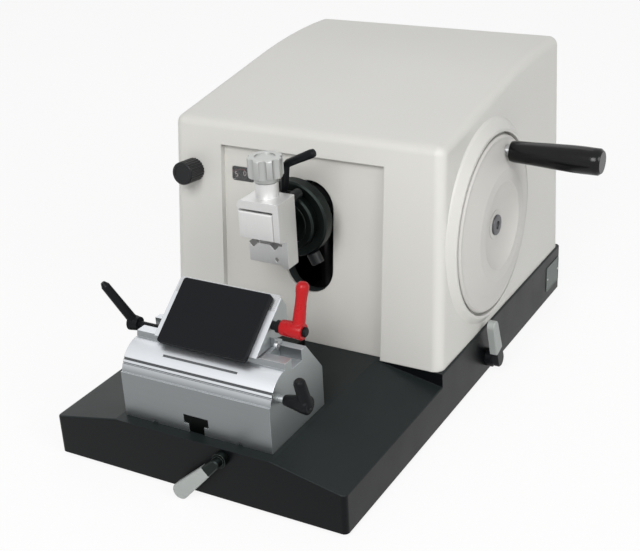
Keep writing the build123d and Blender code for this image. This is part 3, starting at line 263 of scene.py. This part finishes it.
plateLook = dict(baseLook, colour=(0.0036, 0.0042, 0.0055), shade=(0.0055, 0.0063, 0.0080),
                 uprightShade=(0.0036, 0.0042, 0.0055),
                 worn=(0.05, 0.055, 0.06), edge=0.0005, roughness=0.46, peelScale=2600,
                 cloudScale=25, wear=0.6, gloss=0.12)
metalLook = dict(colour=(0.74, 0.75, 0.76), shade=(0.62, 0.63, 0.65), worn=(0.88, 0.89, 0.90),
                 marks=(0.03, 1, 1), markScale=900, grainScale=2500, cloudScale=14, wear=0.6,
                 edge=0.0006, roughness=0.30, smear=0.16, depth=0.00004)
# the standing and end faces of the holder take darker colours: painted shade
holderLook = dict(metalLook, colour=(0.70, 0.72, 0.74), shade=(0.58, 0.60, 0.63), worn=(0.62, 0.64, 0.66),
                  uprightShade=(0.22, 0.235, 0.24), uprightShadeShare=0.95, ends=(0.42, 0.45, 0.45), wear=0.4)
# the holder block has three grooves along its front curve, darkened with painted shade
grooveShadeLook = dict(holderLook, grooveShade=(0.10, 0.105, 0.11),
                   lines=(dict(y=-0.24294, z=0.12163, halfWidth=0.0014, halfLength=0.0396),
                          dict(y=-0.25051, z=0.11421, halfWidth=0.0015, halfLength=0.1),
                          dict(y=-0.25266, z=0.11049, halfWidth=0.0011, halfLength=0.1)))
clampLook = dict(metalLook, colour=(0.70, 0.70, 0.69), shade=(0.60, 0.60, 0.60), marks=(1, 1, 0.06),
                 markScale=1400, cloudScale=35, edge=0.0005, roughness=0.38)
turnedLook = dict(clampLook, colour=(0.48, 0.49, 0.48), shade=(0.40, 0.41, 0.40), worn=(0.62, 0.62, 0.61),
                  roughness=0.36)
steelLook = dict(metalLook, colour=(0.56, 0.57, 0.58), shade=(0.46, 0.47, 0.48), marks=(1, 1, 1),
                 cloudScale=40, edge=0.0003, roughness=0.24)
darkSteelLook = dict(metalLook, colour=(0.16, 0.16, 0.17), shade=(0.11, 0.11, 0.12),
                     worn=(0.35, 0.35, 0.36), marks=(1, 0.04, 1), edge=0.0005, roughness=0.32)
headLook = dict(metalLook, colour=(0.022, 0.028, 0.026), shade=(0.013, 0.018, 0.017),
                worn=(0.12, 0.14, 0.13), marks=(1, 1, 1), cloudScale=40, edge=0.0006,
                roughness=0.30, depth=0.00003)
ironLook = dict(metalLook, colour=(0.20, 0.205, 0.21), shade=(0.14, 0.145, 0.15),
                worn=(0.34, 0.34, 0.35), marks=(1, 1, 1), roughness=0.5, depth=0.00012, edge=0.0006)
brassLook = dict(steelLook, colour=(0.72, 0.56, 0.26), shade=(0.62, 0.47, 0.21),
                 worn=(0.85, 0.72, 0.42))
bladeLook = dict(steelLook, colour=(0.66, 0.67, 0.69), marks=(1, 0.05, 1), roughness=0.16, edge=0.0001)
blackLook = dict(colour=(0.0055, 0.0062, 0.0070), shade=(0.0085, 0.0095, 0.0105),
                 worn=(0.025, 0.026, 0.028), cloud=0.7, cloudScale=45, wear=0.4, edge=0.0006,
                 roughness=0.26, smear=0.16, grainScale=3200, depth=0.00004, gloss=0.3)
gripLook = dict(blackLook, colour=(0.0025, 0.0026, 0.0030), shade=(0.0040, 0.0041, 0.0045),
                roughness=0.12, smear=0.10, depth=0.00001, edge=0.0010, gloss=0.25)
slotLook = dict(blackLook, colour=(0.022, 0.026, 0.026), shade=(0.030, 0.035, 0.035), roughness=0.5)
redLook = dict(blackLook, colour=(0.42, 0.006, 0.009), shade=(0.35, 0.004, 0.007),
               worn=(0.50, 0.030, 0.032), roughness=0.22, smear=0.12, gloss=0.25)
rubberLook = dict(blackLook, colour=(0.020, 0.020, 0.020), roughness=0.7, smear=0.2, depth=0.00010)
dialLook = dict(blackLook, colour=(0.003, 0.003, 0.003), roughness=0.5, gloss=0.08)
# the standing faces of the rail take a darker colour: painted shade
railLook = dict(headLook, marks=(1, 0.04, 1), uprightShade=(0.006, 0.007, 0.007), uprightShadeShare=1.0)
windowLook = dict(colour=(0.93, 0.95, 0.96), cloudScale=60, smear=0.06, roughness=0.02, gloss=0.15)

finishes = {
    "base_black": paintedFinish("basePaint", baseLook),
    "housing_white": paintedFinish("housingPaint", housingLook),
    "panel_white": paintedFinish("panelPaint", panelLook),
    "wheel_white": paintedFinish("wheelPaint", wheelLook),
    "lever_grey": paintedFinish("leverPaint", greyLeverLook),
    "plate_black": paintedFinish("plateBlack", plateLook),
    "holder_alu": metalFinish("milledAluminium", holderLook),
    "clamp_alu": metalFinish("clampAluminium", clampLook),
    "steel": metalFinish("turnedSteel", steelLook),
    "rail_steel": metalFinish("darkenedSteel", darkSteelLook),
    "head_black": metalFinish("blackenedSteel", headLook),
    "inner_iron": metalFinish("machinedIron", ironLook),
    "brass": metalFinish("turnedBrass", brassLook),
    "blade_steel": metalFinish("groundSteel", bladeLook),
    "dial_plate": mouldedFinish("dialBlack", dialLook),
    "black_plastic": mouldedFinish("knobPlastic", blackLook),
    "lever_black": mouldedFinish("leverPlastic", dict(blackLook, roughness=0.26, gloss=0.10)),
    "wheel_black": mouldedFinish("wheelPlastic", dict(blackLook, roughness=0.34)),
    "grip_black": mouldedFinish("gripPlastic", gripLook),
    "lever_red": mouldedFinish("redPlastic", redLook),
    "foot_rubber": mouldedFinish("footRubber", rubberLook),
    "window_clear": clearFinish("windowClear", windowLook),
}
# nodes whose finish differs from that of their slot
ownFinishes = {
    "holder_base": metalFinish("grooveShadedAluminium", grooveShadeLook),
    "slot_frame": mouldedFinish("slotLining", slotLook),
    "knife_rail": metalFinish("blackenedRail", railLook),
    "clamp_knob": metalFinish("turnedAluminium", turnedLook),
    "tilt_ball": metalFinish("blackenedBall", dict(headLook, roughness=0.24)),
}

slotOf = {entry["node"]: entry["material_slot"] for entry in frame["record"]["subparts"]}
for name, piece in cadNodes.items():
    piece.data.materials.clear()
    piece.data.materials.append(ownFinishes.get(name) or finishes[slotOf[name]])
print("finishes assigned:", len(bpy.data.materials))


# small pieces

tiny = dict(touch=1e-5, weld=1e-6)      # metres within which heights match and points are welded
facing = 0.9                            # share of a normal along the axis that it faces
crosswise = 0.1                         # most that a level edge rises


def selectOnly(piece):
    bpy.ops.object.select_all(action="DESELECT")
    piece.select_set(True)
    bpy.context.view_layer.objects.active = piece


def faceUp(lean):
    # turn that takes +Z to the outward normal of a wall that leans back by this angle
    return (radians(90 - lean), 0, 0)


def choose(piece, kind, test):
    # in edit mode, only the faces, edges or vertices whose middle (and normal) pass the test are selected
    bpy.ops.mesh.select_mode(type=kind)
    bpy.ops.mesh.select_all(action="DESELECT")
    bpy.ops.object.mode_set(mode="OBJECT")
    mesh = piece.data
    if kind == "FACE":
        for face in mesh.polygons:
            face.select = test(face.center, face.normal)
    elif kind == "EDGE":
        for edge in mesh.edges:
            first, second = (mesh.vertices[index].co for index in edge.vertices)
            edge.select = test((first + second) / 2, (second - first).normalized())
    else:
        for vertex in mesh.vertices:
            vertex.select = test(vertex.co, vertex.normal)
    bpy.ops.object.mode_set(mode="EDIT")


def addCylinder(radius, depth, sides, low=0.0):
    # upright cylinder standing on z = low, left in edit mode
    bpy.ops.object.select_all(action="DESELECT")
    bpy.ops.mesh.primitive_cylinder_add(vertices=sides, radius=radius, depth=depth,
                                        location=(0, 0, low + depth / 2))
    piece = bpy.context.active_object
    bpy.ops.object.transform_apply(location=True, rotation=False, scale=False)
    bpy.ops.object.mode_set(mode="EDIT")
    return piece


def settle(piece, name, body, finish, place=(0, 0, 0), turn=(0, 0, 0), smooth=35):
    # its place goes into its mesh, then it is smoothed, finished and hung on its body
    if bpy.context.mode != "OBJECT":
        bpy.ops.object.mode_set(mode="OBJECT")
    selectOnly(piece)
    piece.location = place
    piece.rotation_euler = turn
    bpy.ops.object.transform_apply(location=True, rotation=True, scale=True)
    bpy.ops.object.shade_smooth_by_angle(angle=radians(smooth))
    piece.name = name
    piece.data.materials.clear()
    piece.data.materials.append(finish)
    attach(piece, body)


def copyPiece(piece, name, body, move):
    twin = piece.copy()
    twin.data = piece.data.copy()
    bpy.context.scene.collection.objects.link(twin)
    settle(twin, name, body, piece.data.materials[0], place=move)


def recessTop(piece, top, border, depth):
    # a rim round the top face and a shallow floor inside it
    choose(piece, "FACE", lambda middle, normal: normal.z > facing and middle.z > top - tiny["touch"])
    bpy.ops.mesh.inset(thickness=border)
    bpy.ops.mesh.extrude_region_move(TRANSFORM_OT_translate={"value": (0, 0, -depth)})


def bevelRing(piece, height, amount, segments=3):
    # rounds the outer edge that lies at this height
    def atHeight(middle, along):
        return abs(middle.z - height) < tiny["touch"] and abs(along.z) < crosswise

    choose(piece, "EDGE", atHeight)
    bpy.ops.mesh.bevel(offset=amount, segments=segments, affect="EDGES")


def joinAll(parts):
    # all of them become the first
    selectOnly(parts[0])
    for part in parts:
        part.select_set(True)
    bpy.ops.object.join()


barUnit = 0.001      # bar radius at a point whose own radius is 1


def barAlong(points, roundness=10):
    # round bar through these points, with its own radius at each
    path = bpy.data.curves.new("barPath", "CURVE")
    path.dimensions = "3D"
    path.bevel_depth = barUnit
    path.bevel_resolution = roundness
    path.use_fill_caps = True
    line = path.splines.new("POLY")
    line.points.add(len(points) - 1)
    for point, (spot, radius) in zip(line.points, points):
        point.co = (*spot, 1)
        point.radius = radius / barUnit
    bar = bpy.data.objects.new("bar", path)
    bpy.context.scene.collection.objects.link(bar)
    selectOnly(bar)
    bpy.ops.object.convert(target="MESH")
    return bpy.context.active_object


def barAlongX(look, stations):
    # bar along X through the hub of a lever
    return barAlong([((x, look["y"], look["z"]), radius) for x, radius in look[stations]],
                    look[stations + "Round"])


towardRight = (0, radians(90), 0)       # turn that takes +Z to +X


def addSocketHead(look, low=0.0):
    # screw head or cap with a round socket, standing on z = low
    head = addCylinder(look["radius"], look["height"], look["sides"], low)
    top = low + look["height"]
    bevelRing(head, top, look["edge"])
    recessTop(head, top, look["radius"] - look["edge"] - look["socket"], look["deep"])
    return head


# front wall of the housing: degrees that it leans back, and its foot
wall = dict(lean=6.15, footY=-0.070, footZ=0.0576)


def onWall(x, z):
    return Vector((x, wall["footY"] + tan(radians(wall["lean"])) * (z - wall["footZ"]), z))


# fluted knob of the section thickness setting: of every fluteSides sides, fluteCut are drawn in
settingKnob = dict(x=-0.125, z=0.223, radius=0.0118, length=0.0225, sides=96, flute=0.95, fluteSides=4,
                   fluteCut=2, skin=0.99, rim=0.0012, border=0.0022, dish=0.0006, gap=0.0003)


def addSettingKnob():
    look = settingKnob
    top = look["length"] + look["gap"]
    knob = addCylinder(look["radius"], look["length"], look["sides"], look["gap"])
    bevelRing(knob, top, look["rim"])
    recessTop(knob, top, look["border"], look["dish"])
    step = radians(360 / look["sides"])
    skin = look["radius"] * look["skin"]

    def inFlute(spot, normal):
        side = round(atan2(spot.y, spot.x) / step)
        return spot.xy.length > skin and side % look["fluteSides"] < look["fluteCut"]

    choose(knob, "VERT", inFlute)
    bpy.ops.transform.resize(value=(look["flute"], look["flute"], 1), center_override=(0, 0, 0))
    settle(knob, "settingKnob", "setting_knob", finishes["black_plastic"],
           onWall(look["x"], look["z"]), faceUp(wall["lean"]), smooth=25)
    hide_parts("thickness_knob")


# numbers and ticks printed on the dial behind the window, turn degrees from one number to the next
dialPrint = dict(x=-0.071, centreUp=0.1383, behind=0.0110, radius=0.0278, height=0.0056, textScale=1.4,
                 steps=(0, 5, 10, 15, 20, 25, 30), turn=20.485, ticksPerStep=5, tickRadius=0.0326,
                 tickLength=0.0022, shortTick=0.6, tickWidth=0.0005, raised=0.00006)


def addDialPrint():
    look = dialPrint
    lean = radians(wall["lean"])
    up = Vector((0, sin(lean), cos(lean)))
    out = Vector((0, -cos(lean), sin(lean)))
    foot = Vector((look["x"], wall["footY"], wall["footZ"])) + up * look["centreUp"] - out * look["behind"]
    face = Matrix.Translation(foot) @ Matrix((Vector((1, 0, 0)), up, out)).transposed().to_4x4()
    numbers = []
    for index, step in enumerate(look["steps"]):
        bpy.ops.object.select_all(action="DESELECT")
        bpy.ops.object.text_add()
        text = bpy.context.active_object
        text.data.body = str(step)
        text.data.size = look["height"] * look["textScale"]
        text.data.align_x = "CENTER"
        text.data.align_y = "CENTER"
        text.data.extrude = look["raised"] / 2
        bpy.ops.object.convert(target="MESH")
        text.matrix_world = (face @ Matrix.Rotation(radians(look["turn"] * index), 4, "Z")
                             @ Matrix.Translation((0, look["radius"], look["raised"])))
        bpy.ops.object.transform_apply(location=True, rotation=True, scale=True)
        numbers.append(text)
    joinAll(numbers)
    settle(numbers[0], "dialNumbers", "dial", printWhite, smooth=10)
    ticks = []
    perStep = look["ticksPerStep"]
    count = (len(look["steps"]) - 1) * perStep
    for index in range(count + 1):
        bpy.ops.object.select_all(action="DESELECT")
        bpy.ops.mesh.primitive_cube_add(size=1)
        tick = bpy.context.active_object
        long = look["tickLength"] * (1.0 if index % perStep == 0 else look["shortTick"])
        tick.scale = (look["tickWidth"], long, look["raised"])
        bpy.ops.object.transform_apply(location=False, rotation=False, scale=True)
        tick.matrix_world = (face @ Matrix.Rotation(radians(look["turn"] * index / perStep), 4, "Z")
                             @ Matrix.Translation((0, look["tickRadius"] - long / 2, look["raised"])))
        bpy.ops.object.transform_apply(location=True, rotation=True, scale=True)
        ticks.append(tick)
    joinAll(ticks)
    settle(ticks[0], "dialTicks", "dial", printRed, smooth=10)


# star knob that drives the specimen clamp
clampStar = dict(x=0.0055, y=-0.1215, low=0.2523, waist=0.2570, top=0.2762, radius=0.0166, sides=96,
                 edge=0.0016, border=0.0052, dish=0.0012, neck=0.0109, neckSides=64, neckEdge=0.0004,
                 neckSunk=0.0005, flutes=8, cutter=0.0048, cutterSides=24, cutterOut=0.0190,
                 cutterLow=0.004, cutterStretch=1.4)


def addClampStar():
    look = clampStar
    height = look["top"] - look["waist"]
    knob = addCylinder(look["radius"], height, look["sides"], look["waist"])
    bevelRing(knob, look["top"], look["edge"])
    bevelRing(knob, look["waist"], look["edge"])
    recessTop(knob, look["top"], look["border"], look["dish"])
    bpy.ops.object.mode_set(mode="OBJECT")
    cutters = []
    for index in range(look["flutes"]):
        angle = radians(360 / look["flutes"] * (index + 0.5))
        cutter = addCylinder(look["cutter"], height * look["cutterStretch"], look["cutterSides"],
                             look["waist"] - look["cutterLow"])
        bpy.ops.object.mode_set(mode="OBJECT")
        cutter.location = (cos(angle) * look["cutterOut"], sin(angle) * look["cutterOut"], 0)
        bpy.ops.object.transform_apply(location=True, rotation=False, scale=False)
        cutters.append(cutter)
    joinAll(cutters)
    selectOnly(knob)
    cut = knob.modifiers.new("flutes", "BOOLEAN")
    cut.operation = "DIFFERENCE"
    cut.solver = "EXACT"
    cut.object = cutters[0]
    bpy.ops.object.modifier_apply(modifier=cut.name)
    bpy.data.objects.remove(cutters[0])
    neck = addCylinder(look["neck"], look["waist"] - look["low"] + look["neckSunk"], look["neckSides"],
                       look["low"])
    bevelRing(neck, look["low"], look["neckEdge"], 2)
    bpy.ops.object.mode_set(mode="OBJECT")
    joinAll([knob, neck])
    settle(knob, "clampStar", "clamp_knob", ownFinishes["clamp_knob"],
           (look["x"], look["y"], 0), smooth=30)
    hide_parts("clamp_knob")


# face of the moving jaw, with its corners rounded over
jawBlock = dict(round=0.0022, segments=4)


def addJawBlock():
    look = jawBlock
    source = cadNodes["clamp_moving_jaw"]
    jaw = source.copy()
    jaw.data = source.data.copy()
    bpy.context.scene.collection.objects.link(jaw)
    selectOnly(jaw)
    bpy.ops.object.mode_set(mode="EDIT")
    bpy.ops.mesh.select_all(action="SELECT")
    bpy.ops.mesh.remove_doubles(threshold=tiny["weld"])
    bpy.ops.mesh.dissolve_limited(angle_limit=radians(1))
    low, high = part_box("clamp_moving_jaw")

    def onRim(middle, along):
        rim = min(abs(middle.x - low[0]), abs(middle.x - high[0]), abs(middle.z - high[2]))
        return max(abs(middle.y - low[1]), rim) < tiny["touch"]

    choose(jaw, "EDGE", onRim)
    bpy.ops.mesh.bevel(offset=look["round"], segments=look["segments"], affect="EDGES")
    settle(jaw, "jawBlock", "jaw", finishes["clamp_alu"], smooth=30)
    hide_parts("clamp_moving_jaw")


# bent bar that frees the specimen clamp: points right of and above its hub, and its radius at each
releaseBar = dict(hub=(0.0225, -0.0992, 0.233), hubRadius=0.005, hubSides=48, hubFront=-0.1102,
                  hubBack=-0.0950, edge=0.0008,
                  bends=((0, 0, 0.0036), (-0.0130, 0, 0.0038), (-0.0115, 0.010, 0.0038),
                         (-0.0090, 0.0275, 0.0038), (-0.0058, 0.0306, 0.0039), (0.0050, 0.0358, 0.0040),
                         (0.0190, 0.0425, 0.0044), (0.0216, 0.0438, 0.0038), (0.0226, 0.0443, 0.0020)))


def addReleaseBar():
    look = releaseBar
    hub = Vector(look["hub"])
    bar = barAlong([(hub + Vector((dx, 0, dz)), radius) for dx, dz, radius in look["bends"]])
    bossLength = look["hubBack"] - look["hubFront"]
    boss = addCylinder(look["hubRadius"], bossLength, look["hubSides"])
    bevelRing(boss, bossLength, look["edge"])
    bpy.ops.object.mode_set(mode="OBJECT")
    boss.rotation_euler = (radians(-90), 0, 0)
    boss.location = (hub.x, look["hubFront"], hub.z)
    bpy.ops.object.transform_apply(location=True, rotation=True, scale=False)
    joinAll([bar, boss])
    settle(bar, "releaseBar", "release_lever", finishes["lever_black"], smooth=45)
    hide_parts("clamp_release_lever")


# red lever of the blade clamp: x and radius along hub and collar, way up and radius along the arm
redHandle = dict(y=-0.2005, z=0.151, armX=0.0780, lean=18, hubRound=14, armRound=12, collarRound=12,
                 hub=((0.0615, 0.0062), (0.0622, 0.0070), (0.0640, 0.0072), (0.0830, 0.0078),
                      (0.0836, 0.0075), (0.0840, 0.0068)),
                 arm=((0.0, 0.0062), (0.012, 0.0057), (0.025, 0.0051), (0.031, 0.0053), (0.0345, 0.0057),
                      (0.0375, 0.0060), (0.0400, 0.0058), (0.0418, 0.0049), (0.0431, 0.0036),
                      (0.0438, 0.0020), (0.0440, 0.0006)),
                 collar=((0.0520, 0.0040), (0.0568, 0.0040), (0.0569, 0.0054), (0.0573, 0.0058),
                         (0.0614, 0.0058)))


def addRedHandle():
    look = redHandle
    lean = radians(look["lean"])
    hub = barAlongX(look, "hub")
    arm = barAlong([((look["armX"], look["y"] + up * sin(lean), look["z"] + up * cos(lean)), radius)
                    for up, radius in look["arm"]], look["armRound"])
    joinAll([hub, arm])
    settle(hub, "redHandle", "red_lever", finishes["lever_red"], smooth=40)
    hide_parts("red_lever")
    collar = barAlongX(look, "collar")
    settle(collar, "redHandleCollar", "red_lever", finishes["lever_black"], smooth=40)
    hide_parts("red_lever_shaft")


# clamping lever on the right end of the holder block: the arm has points and a radius at each
endHandle = dict(y=-0.2385, z=0.1035, hubRound=14, armRound=12, studRound=8,
                 hub=((0.0837, 0.0042), (0.0842, 0.0048), (0.1040, 0.0084), (0.1075, 0.0084),
                      (0.1086, 0.0078), (0.1090, 0.0068)),
                 arm=((0.1052, -0.2385, 0.1030, 0.0062), (0.1040, -0.2403, 0.1130, 0.0058),
                      (0.1030, -0.2420, 0.1220, 0.0056), (0.1024, -0.2430, 0.1268, 0.0054),
                      (0.1022, -0.2434, 0.1288, 0.0046), (0.1021, -0.2436, 0.1298, 0.0034)),
                 stud=((0.0612, 0.0030), (0.0840, 0.0030)))


def addEndHandle():
    look = endHandle
    hub = barAlongX(look, "hub")
    arm = barAlong([(spot, radius) for *spot, radius in look["arm"]], look["armRound"])
    stud = barAlongX(look, "stud")
    joinAll([hub, arm, stud])
    settle(hub, "endHandle", "segment_lever", finishes["lever_black"], smooth=40)
    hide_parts("segment_lock_lever")


# turned grip of the handwheel: share of its length and radius, from the wheel to the free end
wheelGrip = dict(start=0.1668, length=0.0915, y=0.0759, z=0.2365, edge=0.0022, bore=0.0053, steps=64,
                 outline=((0.0, 0.0100), (0.04, 0.0108), (0.25, 0.0114), (0.5, 0.0126), (0.68, 0.0133),
                          (0.80, 0.0134), (0.90, 0.0132), (0.97, 0.0131)))


def addWheelGrip():
    look = wheelGrip
    bpy.ops.object.select_all(action="DESELECT")
    bpy.ops.mesh.primitive_plane_add(size=1)
    grip = bpy.context.active_object
    bpy.ops.object.mode_set(mode="EDIT")
    bpy.ops.mesh.select_all(action="SELECT")
    bpy.ops.mesh.delete(type="VERT")
    line = [(look["outline"][0][0], look["bore"])] + list(look["outline"])
    line += [(1.0, look["outline"][-1][1] - look["edge"]), (1.0, 0.0)]
    bpy.ops.object.mode_set(mode="OBJECT")
    grip.data.vertices.add(len(line))
    for vertex, (share, radius) in zip(grip.data.vertices, line):
        vertex.co = (share * look["length"], 0, radius)
    grip.data.edges.add(len(line) - 1)
    for index, edge in enumerate(grip.data.edges):
        edge.vertices = (index, index + 1)
    bpy.ops.object.mode_set(mode="EDIT")
    bpy.ops.mesh.select_all(action="SELECT")
    bpy.ops.mesh.spin(steps=look["steps"], angle=radians(360), center=(0, 0, 0), axis=(1, 0, 0))
    bpy.ops.mesh.select_all(action="SELECT")
    bpy.ops.mesh.remove_doubles(threshold=tiny["weld"])
    bpy.ops.mesh.normals_make_consistent(inside=False)
    bpy.ops.object.mode_set(mode="OBJECT")
    settle(grip, "wheelGrip", "grip", finishes["grip_black"],
           (look["start"], look["y"], look["z"]), smooth=50)
    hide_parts("handwheel_grip")


# socket screw in the middle of the handwheel, on its washer
hubScrew = dict(place=(0.1585, 0.055, 0.165), radius=0.0104, height=0.0022, sides=48, edge=0.0008,
                socket=0.0045, deep=0.0016)
hubWasher = dict(radius=0.0148, height=0.0008, sides=64, edge=0.0003)


def addHubScrew():
    screw = addSocketHead(hubScrew, hubWasher["height"])
    settle(screw, "hubScrew", "wheel", finishes["rail_steel"], hubScrew["place"], towardRight)
    washer = addCylinder(hubWasher["radius"], hubWasher["height"], hubWasher["sides"])
    bevelRing(washer, hubWasher["height"], hubWasher["edge"], 2)
    settle(washer, "hubWasher", "wheel", finishes["wheel_white"], hubScrew["place"],
           towardRight)
    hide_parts("hub_nut")


# bare plate riveted to the side of the base
sidePlate = dict(x=0.156, y=0.2425, z=0.0300, width=0.040, height=0.030, thickness=0.0008, corner=0.002,
                 cornerSegments=4, border=0.0012, sunk=0.3)
sideRivet = dict(radius=0.0012, sides=16, edge=0.0004, inset=0.0030, lift=0.6)


def addSidePlate():
    look = sidePlate
    bpy.ops.object.select_all(action="DESELECT")
    bpy.ops.mesh.primitive_cube_add(size=1, location=(look["thickness"] / 2, 0, 0))
    plate = bpy.context.active_object
    plate.scale = (look["thickness"], look["width"], look["height"])
    bpy.ops.object.transform_apply(location=True, rotation=True, scale=True)
    bpy.ops.object.mode_set(mode="EDIT")
    choose(plate, "EDGE", lambda middle, along: abs(along.x) > facing)
    bpy.ops.mesh.bevel(offset=look["corner"], segments=look["cornerSegments"], affect="EDGES")
    choose(plate, "FACE", lambda middle, normal: normal.x > facing)
    bpy.ops.mesh.inset(thickness=look["border"])
    sunk = look["thickness"] * look["sunk"]
    bpy.ops.mesh.extrude_region_move(TRANSFORM_OT_translate={"value": (-sunk, 0, 0)})
    settle(plate, "sidePlate", "base", plateGrey, (look["x"], look["y"], look["z"]), smooth=20)
    rivet = addCylinder(sideRivet["radius"], look["thickness"], sideRivet["sides"])
    bevelRing(rivet, look["thickness"], sideRivet["edge"])
    reach = look["width"] / 2 - sideRivet["inset"]
    rivetX = look["x"] + look["thickness"] * sideRivet["lift"]
    settle(rivet, "sideRivetFront", "base", finishes["steel"],
           (rivetX, look["y"] - reach, look["z"]), towardRight)
    copyPiece(rivet, "sideRivetRear", "base", (0, 2 * reach, 0))


# caps on the hub ends of the clamping levers
leverCaps = dict(radius=0.0040, height=0.0010, sides=32, edge=0.0005, socket=0.0019, deep=0.0006,
                 right=(0.1090, -0.2385, 0.1035), left=(-0.1010, -0.2080, 0.1265))


def addLeverCaps():
    look = leverCaps
    for side, body, turn in (("right", "segment_lever", 90), ("left", "lateral_lever", -90)):
        cap = addSocketHead(look)
        settle(cap, side + "LeverCap", body, finishes["black_plastic"], look[side],
               (0, radians(turn), 0))


# bright sleeve on the stud of the right clamping lever
studSleeve = dict(radius=0.0036, bore=0.00306, length=0.0042, sides=32, place=(0.0793, -0.2385, 0.1035))


def addStudSleeve():
    look = studSleeve
    sleeve = addCylinder(look["radius"], look["length"], look["sides"])
    choose(sleeve, "FACE", lambda middle, normal: abs(normal.z) > facing)
    bpy.ops.mesh.inset(thickness=look["radius"] - look["bore"])
    bpy.ops.mesh.bridge_edge_loops()
    settle(sleeve, "studSleeve", "segment_lever", finishes["steel"], look["place"], towardRight)


# stop screw in the end of the lateral slide
stopScrew = dict(radius=0.0036, height=0.0030, sides=32, edge=0.0005, socket=0.0018, deep=0.0016,
                 place=(0.0568, -0.2050, 0.1345))


def addStopScrew():
    settle(addSocketHead(stopScrew), "stopScrew", "lateral", finishes["steel"], stopScrew["place"],
           towardRight)


# pan head screws of the plate under the base, in two rows
coverScrews = dict(radius=0.0034, height=0.0012, sides=24, edge=0.0006, socket=0.0014, deep=0.0007,
                   x=0.138, ys=(-0.245, -0.04, 0.06, 0.245), z=0.0040)


def addCoverScrews():
    look = coverScrews
    first = addSocketHead(look)
    settle(first, "coverScrew0", "base", finishes["steel"], (look["x"], look["ys"][0], look["z"]),
           (radians(180), 0, 0))
    spots = [(x, y) for x in (look["x"], -look["x"]) for y in look["ys"]][1:]
    for index, (x, y) in enumerate(spots, 1):
        copyPiece(first, f"coverScrew{index}", "base", (x - look["x"], y - look["ys"][0], 0))


greyPlateLook = dict(greyLeverLook, colour=(0.090, 0.112, 0.102), shade=(0.060, 0.078, 0.070),
                     worn=(0.24, 0.27, 0.25), cloudScale=60)
printLook = dict(blackLook, colour=(0.55, 0.48, 0.45), shade=(0.46, 0.40, 0.37), worn=(0.60, 0.54, 0.50),
                 roughness=0.5)
plateGrey = paintedFinish("plateGrey", greyPlateLook)
printWhite = mouldedFinish("printWhite", printLook)
printRed = mouldedFinish("printRed", dict(redLook, roughness=0.5))

addSettingKnob()
addDialPrint()
addClampStar()
addJawBlock()
addReleaseBar()
addRedHandle()
addEndHandle()
addWheelGrip()
addHubScrew()
addSidePlate()
addLeverCaps()
addStudSleeve()
addStopScrew()
addCoverScrews()
print("small pieces added")


# light, floor and camera

studio = dict(floorSize=8.0, floorColour=(0.90, 0.90, 0.89), floorGlow=0.88, ambient=0.30, backdrop=1.0,
              keyPlace=(0.5, -2.4, 2.0), keySize=1.3, keyPower=58,
              sidePlace=(2.4, -0.9, 1.7), sideSize=1.3, sidePower=30,
              backPlace=(-1.2, 1.6, 2.4), backSize=1.6, backPower=7,
              aim=(0.0, -0.05, 0.15))


def seen(tree):
    # 1 for camera, glossy and transmitted rays
    path = tree.nodes.new("ShaderNodeLightPath")
    camera, glossy, through = (Signal(tree, path.outputs[name])
                               for name in ("Is Camera Ray", "Is Glossy Ray", "Is Transmission Ray"))
    return camera.combine("MAXIMUM", camera, glossy.combine("MAXIMUM", glossy, through))


def addFloor():
    bpy.ops.mesh.primitive_plane_add(size=studio["floorSize"])
    floor = bpy.context.active_object
    floor.name = "studioFloor"
    finish = Finish("floorPaper", Roughness=0.9)
    finish.feed("Base Color", studio["floorColour"])
    tree = finish.tree
    glow = tree.nodes.new("ShaderNodeEmission")
    blend = tree.nodes.new("ShaderNodeMixShader")
    output = tree.nodes["Material Output"]
    plug(tree, blend.inputs[0], seen(tree) * studio["floorGlow"])
    tree.links.new(finish.shader.outputs[0], blend.inputs[1])
    tree.links.new(glow.outputs[0], blend.inputs[2])
    tree.links.new(blend.outputs[0], output.inputs[0])
    floor.data.materials.append(finish.material)


def addWorld():
    world = bpy.data.worlds.new("studioWorld")
    bpy.context.scene.world = world
    world.use_nodes = True
    tree = world.node_tree
    strength = seen(tree) * (studio["backdrop"] - studio["ambient"]) + studio["ambient"]
    ground = tree.nodes["Background"]
    plug(tree, ground.inputs["Color"], (1.0, 1.0, 1.0))
    plug(tree, ground.inputs["Strength"], strength)


def addLamp(name, place, size, power):
    lamp = bpy.data.lights.new(name, "AREA")
    lamp.shape = "SQUARE"
    lamp.size = size
    lamp.energy = power
    holder = bpy.data.objects.new(name, lamp)
    bpy.context.scene.collection.objects.link(holder)
    holder.location = place
    holder.rotation_euler = (Vector(studio["aim"]) - Vector(place)).to_track_quat("-Z", "Y").to_euler()


addFloor()
addWorld()
for key in ("key", "side", "back"):
    addLamp(key + "Lamp", studio[key + "Place"], studio[key + "Size"], studio[key + "Power"])

cameraSet = dict(place=(0.572, -0.994, 0.635), azimuth=30.57, elevation=24.83, roll=-3.19, lens=68.0,
                 sensor=36)


def addCamera():
    azimuth, elevation, roll = (radians(cameraSet[key]) for key in ("azimuth", "elevation", "roll"))
    right = Vector((cos(azimuth), sin(azimuth), 0))
    back = Vector((sin(azimuth) * cos(elevation), -cos(azimuth) * cos(elevation), sin(elevation)))
    up = back.cross(right)
    axisX = right * cos(roll) + up * sin(roll)
    axisY = up * cos(roll) - right * sin(roll)
    data = bpy.data.cameras.new("studioCamera")
    data.lens = cameraSet["lens"]
    data.sensor_width = cameraSet["sensor"]
    camera = bpy.data.objects.new("studioCamera", data)
    bpy.context.scene.collection.objects.link(camera)
    turn = Matrix((axisX, axisY, back)).transposed().to_4x4()
    camera.matrix_world = Matrix.Translation(cameraSet["place"]) @ turn
    bpy.context.scene.camera = camera


addCamera()
bpy.context.scene.view_settings.view_transform = "Standard"
print("studio set")
